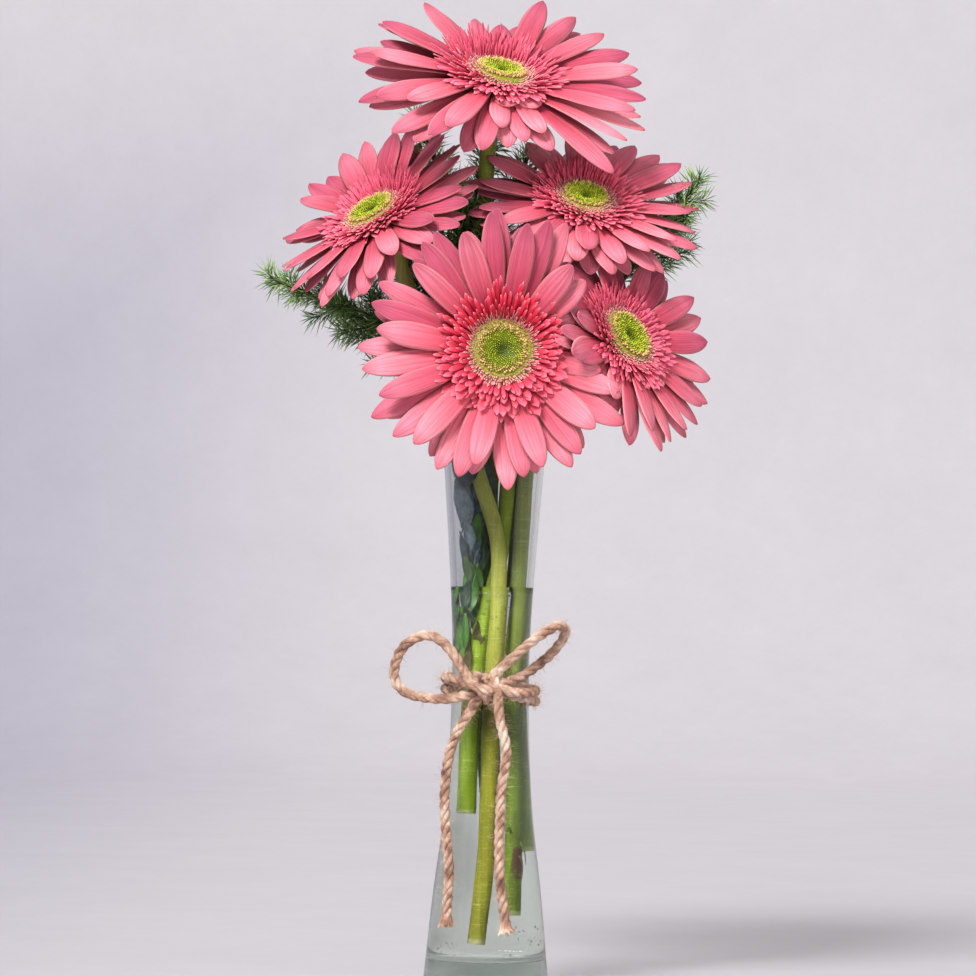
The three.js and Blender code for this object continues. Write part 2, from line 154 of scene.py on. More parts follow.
def piece(name, mesh, finish, slot, *nodes):
    """Puts a finished mesh in the scene on the one body, in place of the CAD nodes that it stands for."""
    made = bpy.data.objects.new(name, mesh)
    bpy.context.scene.collection.objects.link(made)
    mesh.materials.clear()
    mesh.materials.append(finish)
    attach(made, "root")
    if nodes:
        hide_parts(*nodes)
    return made


wall_line = smooth(VASE_OUTLINE, steps=40, power=0)


def wall_radius(height, inset=0.0):
    """The outer wall's radius at a height, less an inset."""
    return np.interp(height, wall_line[:, 1], wall_line[:, 0]) - inset


def wall(from_height, to_height, steps, inset=0.0):
    """[radius, height] along the wall between two heights, moved in by an inset."""
    return [[wall_radius(z, inset), z] for z in np.linspace(from_height, to_height, steps + 1)]


def quarter(centre_r, centre_z, radius, start, end, steps):
    """An arc in a turned profile, between two angles in degrees."""
    turns = np.radians(np.linspace(start, end, steps + 1))
    return [[centre_r + radius * math.cos(a), centre_z + radius * math.sin(a)] for a in turns]


foot_radius, lip_radius = VASE_OUTLINE[0][0], VASE_OUTLINE[-1][0]
corner_height = BASE_THICKNESS + INNER_CORNER
corner_radius = wall_radius(corner_height, WALL) - INNER_CORNER
vase_profile = [[POLE, 0], [foot_radius - FOOT_RING, 0], [foot_radius - FOOT_ROUNDING, 0],
                *quarter(foot_radius - FOOT_EDGE, FOOT_EDGE, FOOT_EDGE, start=-60, end=-8, steps=4),
                *wall(WALL_FROM, WALL_TO, WALL_ROWS),
                *quarter(lip_radius - WALL / 2, LIP_HEIGHT, WALL / 2, start=0, end=180, steps=8),
                *wall(WALL_TO, corner_height, WALL_ROWS, WALL)[1:],
                *quarter(corner_radius, corner_height, INNER_CORNER, start=-15, end=-90, steps=5),
                [corner_radius / 2, BASE_THICKNESS], [POLE, BASE_THICKNESS]]

# Clear glass shows only its edges and what is behind it: IOR 1.5, polished, with the faint green of iron
glass, tree = material("soda-lime glass, polished")
shader = add(tree, "ShaderNodeBsdfPrincipled", {
    "Base Color": linear("#FAFCFA"), "Roughness": 0.0, "IOR": 1.5, "Transmission Weight": 1.0})
tint = add(tree, "ShaderNodeVolumeAbsorption", {"Color": linear("#AEBEB3"), "Density": 34.0})
add(tree, "ShaderNodeOutputMaterial", {"Surface": shader, "Volume": tint})

vase = piece("vase", turned("vase", vase_profile, VASE_SIDES), glass, "vase_glass", "vase_glass")
vase.visible_shadow = False

# The water: one clear body up to the waist's upper half. It wets the glass, so it meets the inner wall with
# no air between, and climbs a little at its rim.
WATER_LEVEL = 168
WETTING = 0.15
MENISCUS = 0.35
MENISCUS_SLOPE = [(0.4, 0.12), (1.2, 0)]
WATER_ROWS = 44
water_side = wall(corner_height, WATER_LEVEL + MENISCUS, WATER_ROWS, WALL - WETTING)
water_foot = BASE_THICKNESS - WETTING
water_profile = [[POLE, water_foot], [corner_radius / 2, water_foot],
                 *quarter(corner_radius, corner_height, INNER_CORNER + WETTING, start=-90, end=-15, steps=5),
                 *water_side,
                 *[[water_side[-1][0] - inset, WATER_LEVEL + rise] for inset, rise in MENISCUS_SLOPE],
                 [POLE, WATER_LEVEL]]

# Clean water has no colour of its own. It bends what stands in it, at an IOR of 1.33, with a still surface
clear_water, tree = material("clean water")
shader = add(tree, "ShaderNodeBsdfPrincipled", {
    "Base Color": linear("#F7FBF6"), "Roughness": 0.0, "IOR": 1.33, "Transmission Weight": 1.0})
add(tree, "ShaderNodeOutputMaterial", {"Surface": shader})
water = piece("water_body", turned("water_body", water_profile, VASE_SIDES), clear_water, "water", "water")
water.visible_shadow = False

# The stems: bare gerbera stems with no leaves, 6.4 mm thick, faintly ribbed and downy, cut across at the
# foot. Each widens at the top into the green receptacle that carries the bloom.
# Each easing shortens and bends the rays near a neighbour: azimuth, half width, share cut off and bend.
BLOOMS = [
    {"centre": [0, 0, 385], "facing": [0.2, -0.42, 0.88], "reach": 63.5, "disc": 12.8, "tilt": -4, "rise": 14,
     "crown": 32, "easings": [[-84, 68, -0.05, 17], [-14, 24, 0.24, 0], [176, 34, 0.34, 0]]},
    {"centre": [-53, 0, 325.4], "facing": [-0.48, -0.44, 0.76], "reach": 53, "disc": 12.4, "tilt": 0,
     "rise": 4, "crown": 27, "easings": [[38, 62, -0.05, 14], [160, 50, 0.1, 0], [-50, 40, 0.08, 0]]},
    {"centre": [36.5, 5, 333], "facing": [0.19, -0.56, 0.8], "reach": 50, "disc": 12, "tilt": 0, "rise": 2,
     "crown": 27.5, "easings": [[-55, 55, -0.12, 9], [134, 18, 0.2, 0], [180, 40, 0.1, 0]]},
    {"centre": [2.4, -50, 265.6], "facing": [0.05, -0.98, 0.19], "reach": 59, "disc": 14, "tilt": 6,
     "rise": 13, "crown": 29.5, "easings": [[-60, 30, 0.23, 0], [-81, 31, 0.27, -14], [190, 60, 0.06, 0]]},
    {"centre": [54.6, -22, 273.5], "facing": [0.68, -0.55, 0.49], "reach": 50, "disc": 13, "tilt": 0,
     "rise": 2, "crown": 26.5,
     "easings": [[128, 30, 0.27, -11], [87, 22, 0, 11], [70, 24, 0.28, 0], [26, 34, 0.2, -8],
                 [-80, 52, -0.05, 13]]},
]
STEM_RADIUS = 3.2
STEM_SIDES = 28
STEM_STATIONS = 110
STEM_RIBS = 7
RIB_HEIGHT = 0.018
FLARE = 0.28
FLARE_FADE = 26
SIDE_HINT = (0.13, 0.97, 0.2)
WAVER = 0.02
WAVERS = 61
TOP_SHARE = 0.6
CUT_FACE = 0.6
STEM_GREENNESS = [0.7, 0.1, 0.85, 1.0, 0.6]
NECK_DEPTHS = (10, 19)
CUP_OVERHANG = 2
CUP_SIDE = [[POLE, -15], [3.4, -14.8], [6.2, -12.4], [7.4, -9.8], [8.6, -7.6]]
CUP_RIM = [(-2, -3.8), (0, -2.4), (-0.4, -1.2)]
CUP_TOP = -0.8
CUP_SIDES = 40
SCARRED_STEM = 5
SCAR_MIDDLE = (11.5, 54)
SCAR_REACH = (3, 9)
FLAP_RADII = np.linspace(0.7, 0.1, 13)
TORN_FLAPS = [[[11.4, -6, 62], [13.4, -7, 58], [14.2, -7.4, 52], [13.6, -7.4, 47]],
              [[11.6, -7, 56], [12.8, -8.2, 52], [12.6, -8.6, 46], [11.4, -8.6, 42]],
              [[8.2, -8, 66], [7.4, -9.4, 68], [6.6, -10, 67], [6, -10, 65]]]
STEMS = [
    [[-5.2, 19.6, 350], [-5.4, 21.3, 330], [-2.6, 16, 285], [0, 9.6, 240], [-1, 9, 214], [-1.5, 8.3, 180],
     [-1.3, 7.3, 125], [0.5, 6, 82]],
    [[-40, 10, 300], [-27, 8, 268], [-15.5, 0.5, 243], [-6, -6, 214], [1.7, -7.6, 188], [2.6, -8.2, 163],
     [0.6, -7.8, 121], [-0.5, -8, 58], [-3.5, -8.5, 19]],
    [[32.5, 10, 305], [26, 10.5, 278], [18, 8.6, 255], [13.4, 6.6, 238], [11.7, 5.7, 214], [9.8, 4.9, 180],
     [6.7, 5.4, 125], [11.5, 3.4, 57]],
    [[2.5, -25, 261], [4, -15, 253], [5.4, -8, 240], [5.8, -4, 225], [5.4, -1.5, 205], [3, 0.3, 180],
     [-0.8, -0.3, 163], [-5.6, -0.5, 125], [-7.2, -1, 73]],
    [[38, -11, 262], [28, -8.5, 258.5], [16.2, -6, 245], [13.6, -5, 225], [11.2, -3.4, 180],
     [8.2, -2.8, 125], [9, -4, 79], [8.6, -6, 31]],
]


def bloom_frame(bloom):
    """The bloom's own axes as a matrix: X up the bloom, Y to its left as seen, Z the way it faces."""
    facing = Vector(bloom["facing"]).normalized()
    up = (Vector((0, 0, 1)) - facing * facing.z).normalized()
    axes = Matrix((up, facing.cross(up), facing)).transposed().to_4x4()
    return Matrix.Translation(Vector(bloom["centre"]) * MM) @ axes


def sweep(points, radii, sides, ribs=0, rib_height=0.0):
    """Rings along a line, turned as little as possible from one to the next, from SIDE_HINT at its start."""
    points = np.asarray(points, float)
    tangents = np.gradient(points, axis=0)
    tangents /= np.linalg.norm(tangents, axis=1)[:, None]
    side = np.cross(tangents[0], SIDE_HINT)
    angles = np.linspace(0, 2 * math.pi, sides, endpoint=False)
    rings = []
    for point, tangent, radius in zip(points, tangents, radii):
        side = side - tangent * (side @ tangent)
        side /= np.linalg.norm(side)
        other = np.cross(tangent, side)
        reach = radius * (1 + rib_height * np.cos(ribs * angles))
        rings.append(point + np.outer(reach * np.cos(angles), side) + np.outer(reach * np.sin(angles), other))
    return rings


def joined(name, meshes):
    """Several meshes as one, with the first one's materials and all attributes."""
    parts = [bpy.data.objects.new(name, mesh) for mesh in meshes]
    for part in parts:
        bpy.context.scene.collection.objects.link(part)
    with bpy.context.temp_override(active_object=parts[0], selected_editable_objects=parts):
        bpy.ops.object.join()
    mesh = parts[0].data
    bpy.data.objects.remove(parts[0])
    mesh.name = name
    return mesh


# A gerbera stem is satin, olive to bright green and duller in air. Fine dark ribs 1 mm apart run along it,
# with short pale down, corky cross marks, a dry cut face and one brown scar
stem_skin, tree = material("fresh gerbera stem")
place = add(tree, "ShaderNodeTexCoord").outputs["Object"]
stretched = add(tree, "ShaderNodeMapping", {"Vector": place, "Scale": (1, 1, 0.04)})
ribbing = add(tree, "ShaderNodeTexNoise", {"Vector": stretched, "Scale": 900, "Detail": 3})
patches = add(tree, "ShaderNodeTexNoise", {"Vector": place, "Scale": 45, "Detail": 4})
height = add(tree, "ShaderNodeSeparateXYZ", {0: place}).outputs["Z"]
depth = add(tree, "ShaderNodeMapRange", {"Value": height, "From Min": 0.12, "From Max": 0.23})
greenness = add(tree, "ShaderNodeAttribute", attribute_name="greenness").outputs["Fac"]
wet = add(tree, "ShaderNodeValToRGB", {"Fac": greenness}, {0.0: "#76700A", 0.7: "#4E6404", 1.0: "#748A00"})
dry = add(tree, "ShaderNodeValToRGB", {"Fac": greenness}, {0.0: "#B8BA62", 0.7: "#747E2E", 1.0: "#748028"})
tones = add(tree, "ShaderNodeMix", {0: depth, 6: wet, 7: dry}, data_type="RGBA").outputs[2]
streaks = add(tree, "ShaderNodeMapRange", {"Value": ribbing, "From Min": 0.3, "From Max": 0.7,
                                           "To Min": 0.74, "To Max": 1.12})
blotches = add(tree, "ShaderNodeMapRange", {"Value": patches, "From Min": 0.3, "From Max": 0.7,
                                            "To Min": 0.85, "To Max": 1.1})
shade = add(tree, "ShaderNodeMath", {0: streaks, 1: blotches}, operation="MULTIPLY")
colour = add(tree, "ShaderNodeVectorMath", {0: tones, "Scale": shade}, operation="SCALE")
down_spots = add(tree, "ShaderNodeTexVoronoi", {"Vector": place, "Scale": 900})
down = add(tree, "ShaderNodeMapRange", {"Value": down_spots.outputs["Distance"], "From Min": 0.1,
                                        "From Max": 0.24, "To Min": 0.35, "To Max": 0.0})
squat = add(tree, "ShaderNodeMapping", {"Vector": place, "Scale": (1, 1, 9)})
marks = add(tree, "ShaderNodeTexNoise", {"Vector": squat, "Scale": 110, "Detail": 4, "Roughness": 0.7})
marked = add(tree, "ShaderNodeMapRange", {
    "Value": marks, "From Min": 0.57, "From Max": 0.7, "To Max": 0.24})
cut, scar = (add(tree, "ShaderNodeAttribute", attribute_name=name).outputs["Fac"] for name in ("cut", "scar"))
ragged = add(tree, "ShaderNodeTexNoise", {"Vector": place, "Scale": 260, "Detail": 5, "Roughness": 0.7})
torn = add(tree, "ShaderNodeMath", {0: ragged, 1: 2.0, 2: scar}, operation="MULTIPLY_ADD")
torn = add(tree, "ShaderNodeMapRange", {"Value": torn, "From Min": 1.5, "From Max": 1.62})
for share, code in ((down, "#C6CC92"), (marked, "#D2D49A"), (cut, "#C9C79A"), (torn, "#4E3218")):
    colour = add(tree, "ShaderNodeMix", {0: share, 6: colour, 7: linear(code)}, data_type="RGBA").outputs[2]
relief = add(tree, "ShaderNodeBump", {"Height": marks, "Strength": 0.4, "Distance": 0.0004})
shader = add(tree, "ShaderNodeBsdfPrincipled", {
    "Base Color": colour, "Roughness": 0.5, "Specular IOR Level": 0.3, "Sheen Weight": 0.05,
    "Subsurface Weight": 0.08, "Subsurface Radius": (0.6, 1.0, 0.3), "Subsurface Scale": 0.001,
    "Normal": relief})
add(tree, "ShaderNodeOutputMaterial", {"Surface": shader})

for number, (bloom, points) in enumerate(zip(BLOOMS, STEMS), 1):
    axes = bloom_frame(bloom)
    beneath = [list(axes @ Vector((0, 0, -depth * MM)) / MM) for depth in NECK_DEPTHS]
    route = even(smooth(beneath + points, steps=24), STEM_STATIONS) * MM
    run = np.linspace(0, 1, STEM_STATIONS)
    wavering = WAVER * np.sin(run * WAVERS + number)
    radii = STEM_RADIUS * MM * (1.0 + FLARE * np.exp(-run * FLARE_FADE) + wavering)
    radii[0] *= TOP_SHARE
    stalk = skin("stalk", sweep(route, radii, STEM_SIDES, STEM_RIBS, RIB_HEIGHT))
    rim = bloom["disc"] + CUP_OVERHANG
    cup = turned("cup", [*CUP_SIDE, *[[rim + out, z] for out, z in CUP_RIM], [POLE, CUP_TOP]], CUP_SIDES)
    cup.transform(axes)
    flaps = [skin("flap", sweep(smooth(flap, steps=6) * MM, FLAP_RADII * MM, sides=5))
             for flap in (TORN_FLAPS if number == SCARRED_STEM else ())]
    mesh = joined("stem_and_cup", [stalk, cup, *flaps])
    spots = np.array([v.co for v in mesh.vertices]) / MM
    scarred = np.exp(-((spots[:, 2] - SCAR_MIDDLE[1]) / SCAR_REACH[1]) ** 2
                     - ((spots[:, 0] - SCAR_MIDDLE[0]) / SCAR_REACH[0]) ** 2)
    for mark, values in (("greenness", np.full(len(spots), STEM_GREENNESS[number - 1])),
                         ("cut", np.where(spots[:, 2] < spots[:, 2].min() + CUT_FACE, 1.0, 0.0)),
                         ("scar", scarred if number == SCARRED_STEM else np.zeros(len(spots)))):
        mesh.attributes.new(mark, "FLOAT", "POINT").data.foreach_set("value", values)
    piece(f"stem_and_cup_{number}", mesh, stem_skin, "stems", f"stem_{number}")

# The ray petals: soft, finely grooved blades in layers, coral pink and deeper towards the root, with a pale
# thin rim that is partly painted highlight. They grow from the rim of the receptacle; shaded ones beneath
# fill the gaps.
LAYERS = [
    {"count": 14, "share": 0.9, "sink": 6.3, "lean": -8, "stunted": 1.0},
    {"count": 12, "share": 1.0, "sink": 5.8, "lean": -4, "stunted": 0.95},
    {"count": 12, "share": 0.97, "sink": 4.4, "lean": 0, "stunted": 0.72},
    {"count": 12, "share": 0.88, "sink": 3.0, "lean": 4, "stunted": 0.5},
]
# Bloom 1 has short rays below and its sides rolled; each bloom has its least share of mauve painted as shade
# up the bloom
STUNTED_SECTORS = {1: (178, 24)}
ROLLED_SIDES = {1: -28}
LEAST_SHADE_UP = [0.3, 0.38, 0.32, 0.0, 0.25]
RAY_WIDTH = 10.6
RAY_THICKNESS = 0.75
RAY_ARCH = 16
RAY_CUP = -0.12
RAY_ROOT_INSET = 2.5
RAY_RANGES = {"azimuth": (-0.11, 0.11), "length": (0.96, 1.04), "tilt": (-1, 1), "width": (0.92, 1.08),
              "sway": (-0.05, 0.05), "twist": (-15, 15), "droop": (-0.06, 0.04), "stunting": (-0.1, 0.1),
              "chance": (0, 1)}
TIP_STATION = 0.985
STATION_POWER = 1.45
TIP_POWER = 0.6
EDGE_POWER = 0.4
PLEATS = 5


def draw(i, k):
    """A repeatable draw between 0 and 1 for item i of kind k."""
    wave = math.sin(i * 12.9898 + k * 78.233) * 43758.5453
    return wave - math.floor(wave)


def between(ends, share):
    """The value at a share of the way between two ends."""
    return ends[0] + (ends[1] - ends[0]) * share


def drawn_from(ranges, item):
    """One value from each range for an item. Each range has its own kind of draw, numbered from 1."""
    return {measure: between(ends, draw(item, k)) for k, (measure, ends) in enumerate(ranges.items(), 1)}


def local_shape(bloom, azimuth):
    """The tilt of a bloom's blades at an azimuth, in degrees, and the share of their length left there."""
    tilt, share = bloom["tilt"] + bloom["rise"] * math.cos(azimuth), 1.0
    for middle, half_width, cut, bend in bloom["easings"]:
        turned_by = (azimuth - math.radians(middle) + math.pi) % (2 * math.pi) - math.pi
        away = abs(turned_by) / math.radians(half_width)
        effect = math.sqrt(math.cos(away * math.pi / 2)) if away < 1 else 0.0
        tilt += bend * effect
        share -= cut * effect
    return tilt, share


def unit_blade(name, base, widest, blunt, rows, columns, pleat=0.0):
    """A thin closed blade of unit length along X, half breadth 1 along Y and half thickness 1 along Z. Its
    breadth starts at base, is greatest at widest and ends bluntly. A pleat runs along its middle."""
    shares = 1 - (1 - np.linspace(0, TIP_STATION, rows)) ** STATION_POWER
    across = np.linspace(1, -1, columns)
    around = [(w, 1) for w in across] + [(w, -1) for w in across[-2:0:-1]]
    rings, marks = [], []
    for s in shares:
        breadth = (base + (1 - base) * math.sin(math.pi / 2 * s / widest) if s < widest
                   else (1 - ((s - widest) / (1 - widest)) ** blunt) ** TIP_POWER)
        fold = pleat * math.sin(math.pi * s)
        ring = []
        for w, side in around:
            pleated = fold * math.cos(PLEATS * math.pi * w) * (1 - w * w)
            ring.append((s, breadth * w, side * (1 - w * w) ** EDGE_POWER + pleated))
            marks.append((s, w, side))
        rings.append(ring)
    mesh = skin(name, rings)
    marks += [(0, 0, 0), (1, 0, 0)]
    for label, values in zip(("along", "across", "upper"), zip(*marks)):
        mesh.attributes.new(label, "FLOAT", "POINT").data.foreach_set("value", values)
    return mesh


def seats(name, blades):
    """A mesh with a point at the origin for each blade, which carries the blade's measures."""
    mesh = bpy.data.meshes.new(name)
    mesh.from_pydata([(0, 0, 0)] * len(blades), [], [])
    for measure in blades[0]:
        column = mesh.attributes.new(measure, "FLOAT", "POINT")
        column.data.foreach_set("value", [blade[measure] for blade in blades])
    return mesh


def template(name, mesh):
    """An object that is copied by a tree and then removed."""
    made = bpy.data.objects.new(name, mesh)
    bpy.context.scene.collection.objects.link(made)
    return made


def node_group(name, inputs):
    """An empty Geometry Nodes tree, the sockets of its named inputs and the function that ends it."""
    tree = bpy.data.node_groups.new(name, "GeometryNodeTree")
    tree.is_modifier = True
    for label, kind in inputs.items():
        tree.interface.new_socket(label, in_out="INPUT", socket_type="NodeSocket" + kind)
    tree.interface.new_socket("Result", in_out="OUTPUT", socket_type="NodeSocketGeometry")
    given = tree.nodes.new("NodeGroupInput").outputs

    def end(geometry):
        real = add(tree, "GeometryNodeRealizeInstances", {"Geometry": geometry})
        dressed = add(tree, "GeometryNodeSetMaterial", {"Geometry": real, "Material": given["Finish"]})
        add(tree, "NodeGroupOutput", {"Result": dressed})

    return tree, given, end


def grown(name, tree, data, kept=(), **inputs):
    """The mesh that a Geometry Nodes tree makes from a mesh or curve, with only the kept attributes."""
    seat = bpy.data.objects.new(name, data)
    bpy.context.scene.collection.objects.link(seat)
    modifier = seat.modifiers.new(name, "NODES")
    modifier.node_group = tree
    for item in tree.interface.items_tree:
        label = item.name.replace(" ", "_").lower()
        if item.item_type == "SOCKET" and item.in_out == "INPUT" and label in inputs:
            modifier[item.identifier] = inputs[label]
    evaluated = seat.evaluated_get(bpy.context.evaluated_depsgraph_get())
    mesh = bpy.data.meshes.new_from_object(evaluated)
    bpy.data.objects.remove(seat)
    for attribute in [a.name for a in mesh.attributes if not (a.is_internal or a.is_required)]:
        if attribute not in (*kept, "sharp_face"):
            mesh.attributes.remove(mesh.attributes[attribute])
    mesh.name = name
    mesh.shade_smooth()
    return mesh


# Blades bent upwards or downwards from their roots, each by its own measures
bent_blades, given, end = node_group("bent blades", {
    "Seats": "Geometry", "Blade": "Object", "Thickness": "Float", "Cup": "Float", "Finish": "Material"})
tree = bent_blades
own = {measure: add(tree, "GeometryNodeInputNamedAttribute", {"Name": measure}, data_type="FLOAT")
       for measure in ("azimuth", "root", "height", "length", "start", "arch", "half_width", "sway",
                       "twist", "droop")}
blade = add(tree, "GeometryNodeObjectInfo", {"Object": given["Blade"]}).outputs["Geometry"]
copies = add(tree, "GeometryNodeInstanceOnPoints", {"Points": given["Seats"], "Instance": blade})
copies = add(tree, "GeometryNodeRealizeInstances", {"Geometry": copies})
unit = add(tree, "ShaderNodeSeparateXYZ", {0: add(tree, "GeometryNodeInputPosition")}).outputs
squared = add(tree, "ShaderNodeMath", {0: unit["X"], 1: unit["X"]}, operation="MULTIPLY")
cubed = add(tree, "ShaderNodeMath", {0: squared, 1: unit["X"]}, operation="MULTIPLY")
bent = add(tree, "ShaderNodeMath", {0: own["arch"], 1: unit["X"]}, operation="MULTIPLY")
slope = add(tree, "ShaderNodeMath", {0: own["start"], 1: bent}, operation="SUBTRACT")
bow = add(tree, "ShaderNodeMath", {0: own["length"], 1: own["arch"]}, operation="DIVIDE")
sines = [add(tree, "ShaderNodeMath", {0: angle}, operation="SINE") for angle in (own["start"], slope)]
cosines = [add(tree, "ShaderNodeMath", {0: angle}, operation="COSINE") for angle in (slope, own["start"])]
out_by, up_by = (add(tree, "ShaderNodeMath", {0: a, 1: b}, operation="SUBTRACT")
                 for a, b in (sines, cosines))
out_at = add(tree, "ShaderNodeMath", {0: out_by, 1: bow, 2: own["root"]}, operation="MULTIPLY_ADD")
up_at = add(tree, "ShaderNodeMath", {0: up_by, 1: bow, 2: own["height"]}, operation="MULTIPLY_ADD")
side = add(tree, "ShaderNodeMath", {0: unit["Y"], 1: own["half_width"]}, operation="MULTIPLY")
swayed = add(tree, "ShaderNodeMath", {0: squared, 1: own["sway"], 2: side}, operation="MULTIPLY_ADD")
bulk = add(tree, "ShaderNodeMath", {0: given["Thickness"], 1: 0.5}, operation="MULTIPLY")
drooped = add(tree, "ShaderNodeMath", {0: cubed, 1: own["droop"]}, operation="MULTIPLY")
lift = add(tree, "ShaderNodeMath", {0: unit["Z"], 1: bulk, 2: drooped}, operation="MULTIPLY_ADD")
cupped = add(tree, "ShaderNodeMath", {0: side, 1: unit["Y"]}, operation="MULTIPLY")
lift = add(tree, "ShaderNodeMath", {0: cupped, 1: given["Cup"], 2: lift}, operation="MULTIPLY_ADD")
section = add(tree, "ShaderNodeCombineXYZ", {"Y": swayed, "Z": lift})
twisting = add(tree, "ShaderNodeMath", {0: own["twist"], 1: unit["X"]}, operation="MULTIPLY")
section = add(tree, "ShaderNodeVectorRotate", {"Vector": section, "Angle": twisting},
              rotation_type="X_AXIS")
section = add(tree, "ShaderNodeVectorRotate", {"Vector": section, "Angle": slope},
              rotation_type="Y_AXIS", invert=True)
middle = add(tree, "ShaderNodeCombineXYZ", {"X": out_at, "Z": up_at})
point = add(tree, "ShaderNodeVectorMath", {0: section, 1: middle}, operation="ADD")
point = add(tree, "ShaderNodeVectorRotate", {"Vector": point, "Angle": own["azimuth"]},
            rotation_type="Z_AXIS")
end(add(tree, "GeometryNodeSetPosition", {"Geometry": copies, "Position": point}))


def blade_seat(azimuth, root, sink, length, tilt, arch, width, chance, sway, twist, droop=0.0):
    """One blade's measures for the tree, from millimetres and degrees. Painted shade is 1 up the bloom, 0
    down it.
    """
    return {"azimuth": azimuth, "root": root * MM, "height": -sink * MM, "length": length * MM,
            "start": math.radians(tilt + arch / 2), "arch": math.radians(arch),
            "half_width": width / 2 * MM, "sway": sway * length * MM, "twist": math.radians(twist),
            "droop": droop * length * MM, "draw": chance, "cast": 0.5 + 0.5 * math.cos(azimuth)}


def rays(bloom, seed):
    """All rays of a bloom, layer by layer."""
    root = bloom["disc"] - RAY_ROOT_INSET
    middle, half_width = STUNTED_SECTORS.get(seed, (0, 0))
    roll = ROLLED_SIDES.get(seed, 0)
    blades = []
    for layer, form in enumerate(LAYERS, -1):
        for i in range(form["count"]):
            drawn = drawn_from(RAY_RANGES, seed * 100 + layer * 20 + i)
            azimuth = 2 * math.pi * (i + layer / 3 + drawn["azimuth"]) / form["count"]
            tilt, share = local_shape(bloom, azimuth)
            length = (bloom["reach"] * share - root) * form["share"] * drawn["length"]
            if abs(math.degrees(azimuth) % 360 - middle) < half_width:
                length *= form["stunted"] + drawn["stunting"]
            blade = blade_seat(
                azimuth, root, form["sink"], length, tilt=tilt + form["lean"] + drawn["tilt"], arch=RAY_ARCH,
                width=RAY_WIDTH * drawn["width"], chance=drawn["chance"], sway=drawn["sway"],
                twist=drawn["twist"] + roll * math.sin(azimuth), droop=drawn["droop"])
            # Up the bloom the rays are painted a darker mauve as shade, from each bloom's own least share
            blade["cast"] = between((LEAST_SHADE_UP[seed - 1], 1), blade["cast"])
            blades.append(blade)
    return blades


# A gerbera's petal skin is matt and velvety, coral pink and crimson at the root, with fine darker grooves
# along it 0.9 mm apart. Some rays are mauve at random; up the bloom a darker mauve is painted shade, beneath
# the petal is duller and painted darker as shade, and a paler rim is partly painted highlight
petal, tree = material("gerbera petal")
along, across, upper, draw_of, cast = (
    add(tree, "ShaderNodeAttribute", attribute_name=name).outputs["Fac"]
    for name in ("along", "across", "upper", "draw", "cast"))
lines_place = add(tree, "ShaderNodeCombineXYZ", {
    "X": add(tree, "ShaderNodeMath", {0: across, 1: 6.0}, operation="MULTIPLY"),
    "Y": add(tree, "ShaderNodeMath", {0: along, 1: 1.3}, operation="MULTIPLY"),
    "Z": add(tree, "ShaderNodeMath", {0: draw_of, 1: 40.0}, operation="MULTIPLY")})
lines = add(tree, "ShaderNodeTexNoise", {
    "Vector": lines_place, "Scale": 1.0, "Detail": 3, "Roughness": 0.6})
place = add(tree, "ShaderNodeTexCoord").outputs["Object"]
blush = add(tree, "ShaderNodeTexNoise", {"Vector": place, "Scale": 60, "Detail": 3})
coral = add(tree, "ShaderNodeValToRGB", {"Fac": along},
            {0.0: "#A41A34", 0.24: "#D64458", 0.5: "#EC6A7C", 0.84: "#FC92A2", 1.0: "#E27080"})
# The mauve ramp is darker: some rays are mauve at random, and up the bloom it is painted shade
mauve_and_shade = add(tree, "ShaderNodeValToRGB", {"Fac": along},
            {0.0: "#7C0C2A", 0.24: "#A02C46", 0.5: "#B44258", 0.8: "#B85068", 1.0: "#A2425C"})
leaning = add(tree, "ShaderNodeMath", {0: cast, 1: draw_of}, operation="ADD")
mauve_and_shade_share = add(tree, "ShaderNodeMapRange", {"Value": leaning, "From Min": 0.5, "From Max": 1.5})
tones = add(tree, "ShaderNodeMix", {0: mauve_and_shade_share, 6: coral, 7: mauve_and_shade}, data_type="RGBA").outputs[2]
# Beneath, the petal is duller and painted darker, as the shade on its underside
below = add(tree, "ShaderNodeMapRange", {"Value": upper, "From Min": -1.0, "From Max": 0.0})
tones = add(tree, "ShaderNodeMix", {0: below, 6: linear("#A84C5A"), 7: tones},
            data_type="RGBA").outputs[2]
grooves = add(tree, "ShaderNodeMapRange", {"Value": lines, "From Min": 0.35, "From Max": 0.62,
                                           "To Min": 0.7, "To Max": 1.06})
patches = add(tree, "ShaderNodeMapRange", {"Value": blush, "From Min": 0.3, "From Max": 0.7,
                                           "To Min": 0.9, "To Max": 1.05})
shade = add(tree, "ShaderNodeMath", {0: grooves, 1: patches}, operation="MULTIPLY")
ray_shade = add(tree, "ShaderNodeMapRange", {"Value": draw_of, "To Min": 0.84, "To Max": 1.05})
shade = add(tree, "ShaderNodeMath", {0: shade, 1: ray_shade}, operation="MULTIPLY")
toned = add(tree, "ShaderNodeVectorMath", {0: tones, "Scale": shade}, operation="SCALE")
# A paler rim, partly the petal's own and partly a painted highlight along the edges
edge = add(tree, "ShaderNodeMath", {0: across}, operation="ABSOLUTE")
edge = add(tree, "ShaderNodeMath", {0: edge, 1: 12.0}, operation="POWER")
edge = add(tree, "ShaderNodeMath", {0: edge, 1: 0.7}, operation="MULTIPLY")
rim_and_highlight = add(tree, "ShaderNodeMix", {0: edge, 6: toned, 7: linear("#F6A8A8")}, data_type="RGBA").outputs[2]
relief = add(tree, "ShaderNodeBump", {"Height": lines, "Strength": 0.4, "Distance": 0.0006})
shader = add(tree, "ShaderNodeBsdfPrincipled", {
    "Base Color": rim_and_highlight, "Roughness": 0.6, "Specular IOR Level": 0.2, "Sheen Weight": 0.05,
    "Sheen Tint": linear("#F5B8BE"), "Subsurface Weight": 0.15, "Subsurface Radius": (1.0, 0.35, 0.3),
    "Subsurface Scale": 0.0012, "Normal": relief})
add(tree, "ShaderNodeOutputMaterial", {"Surface": shader})

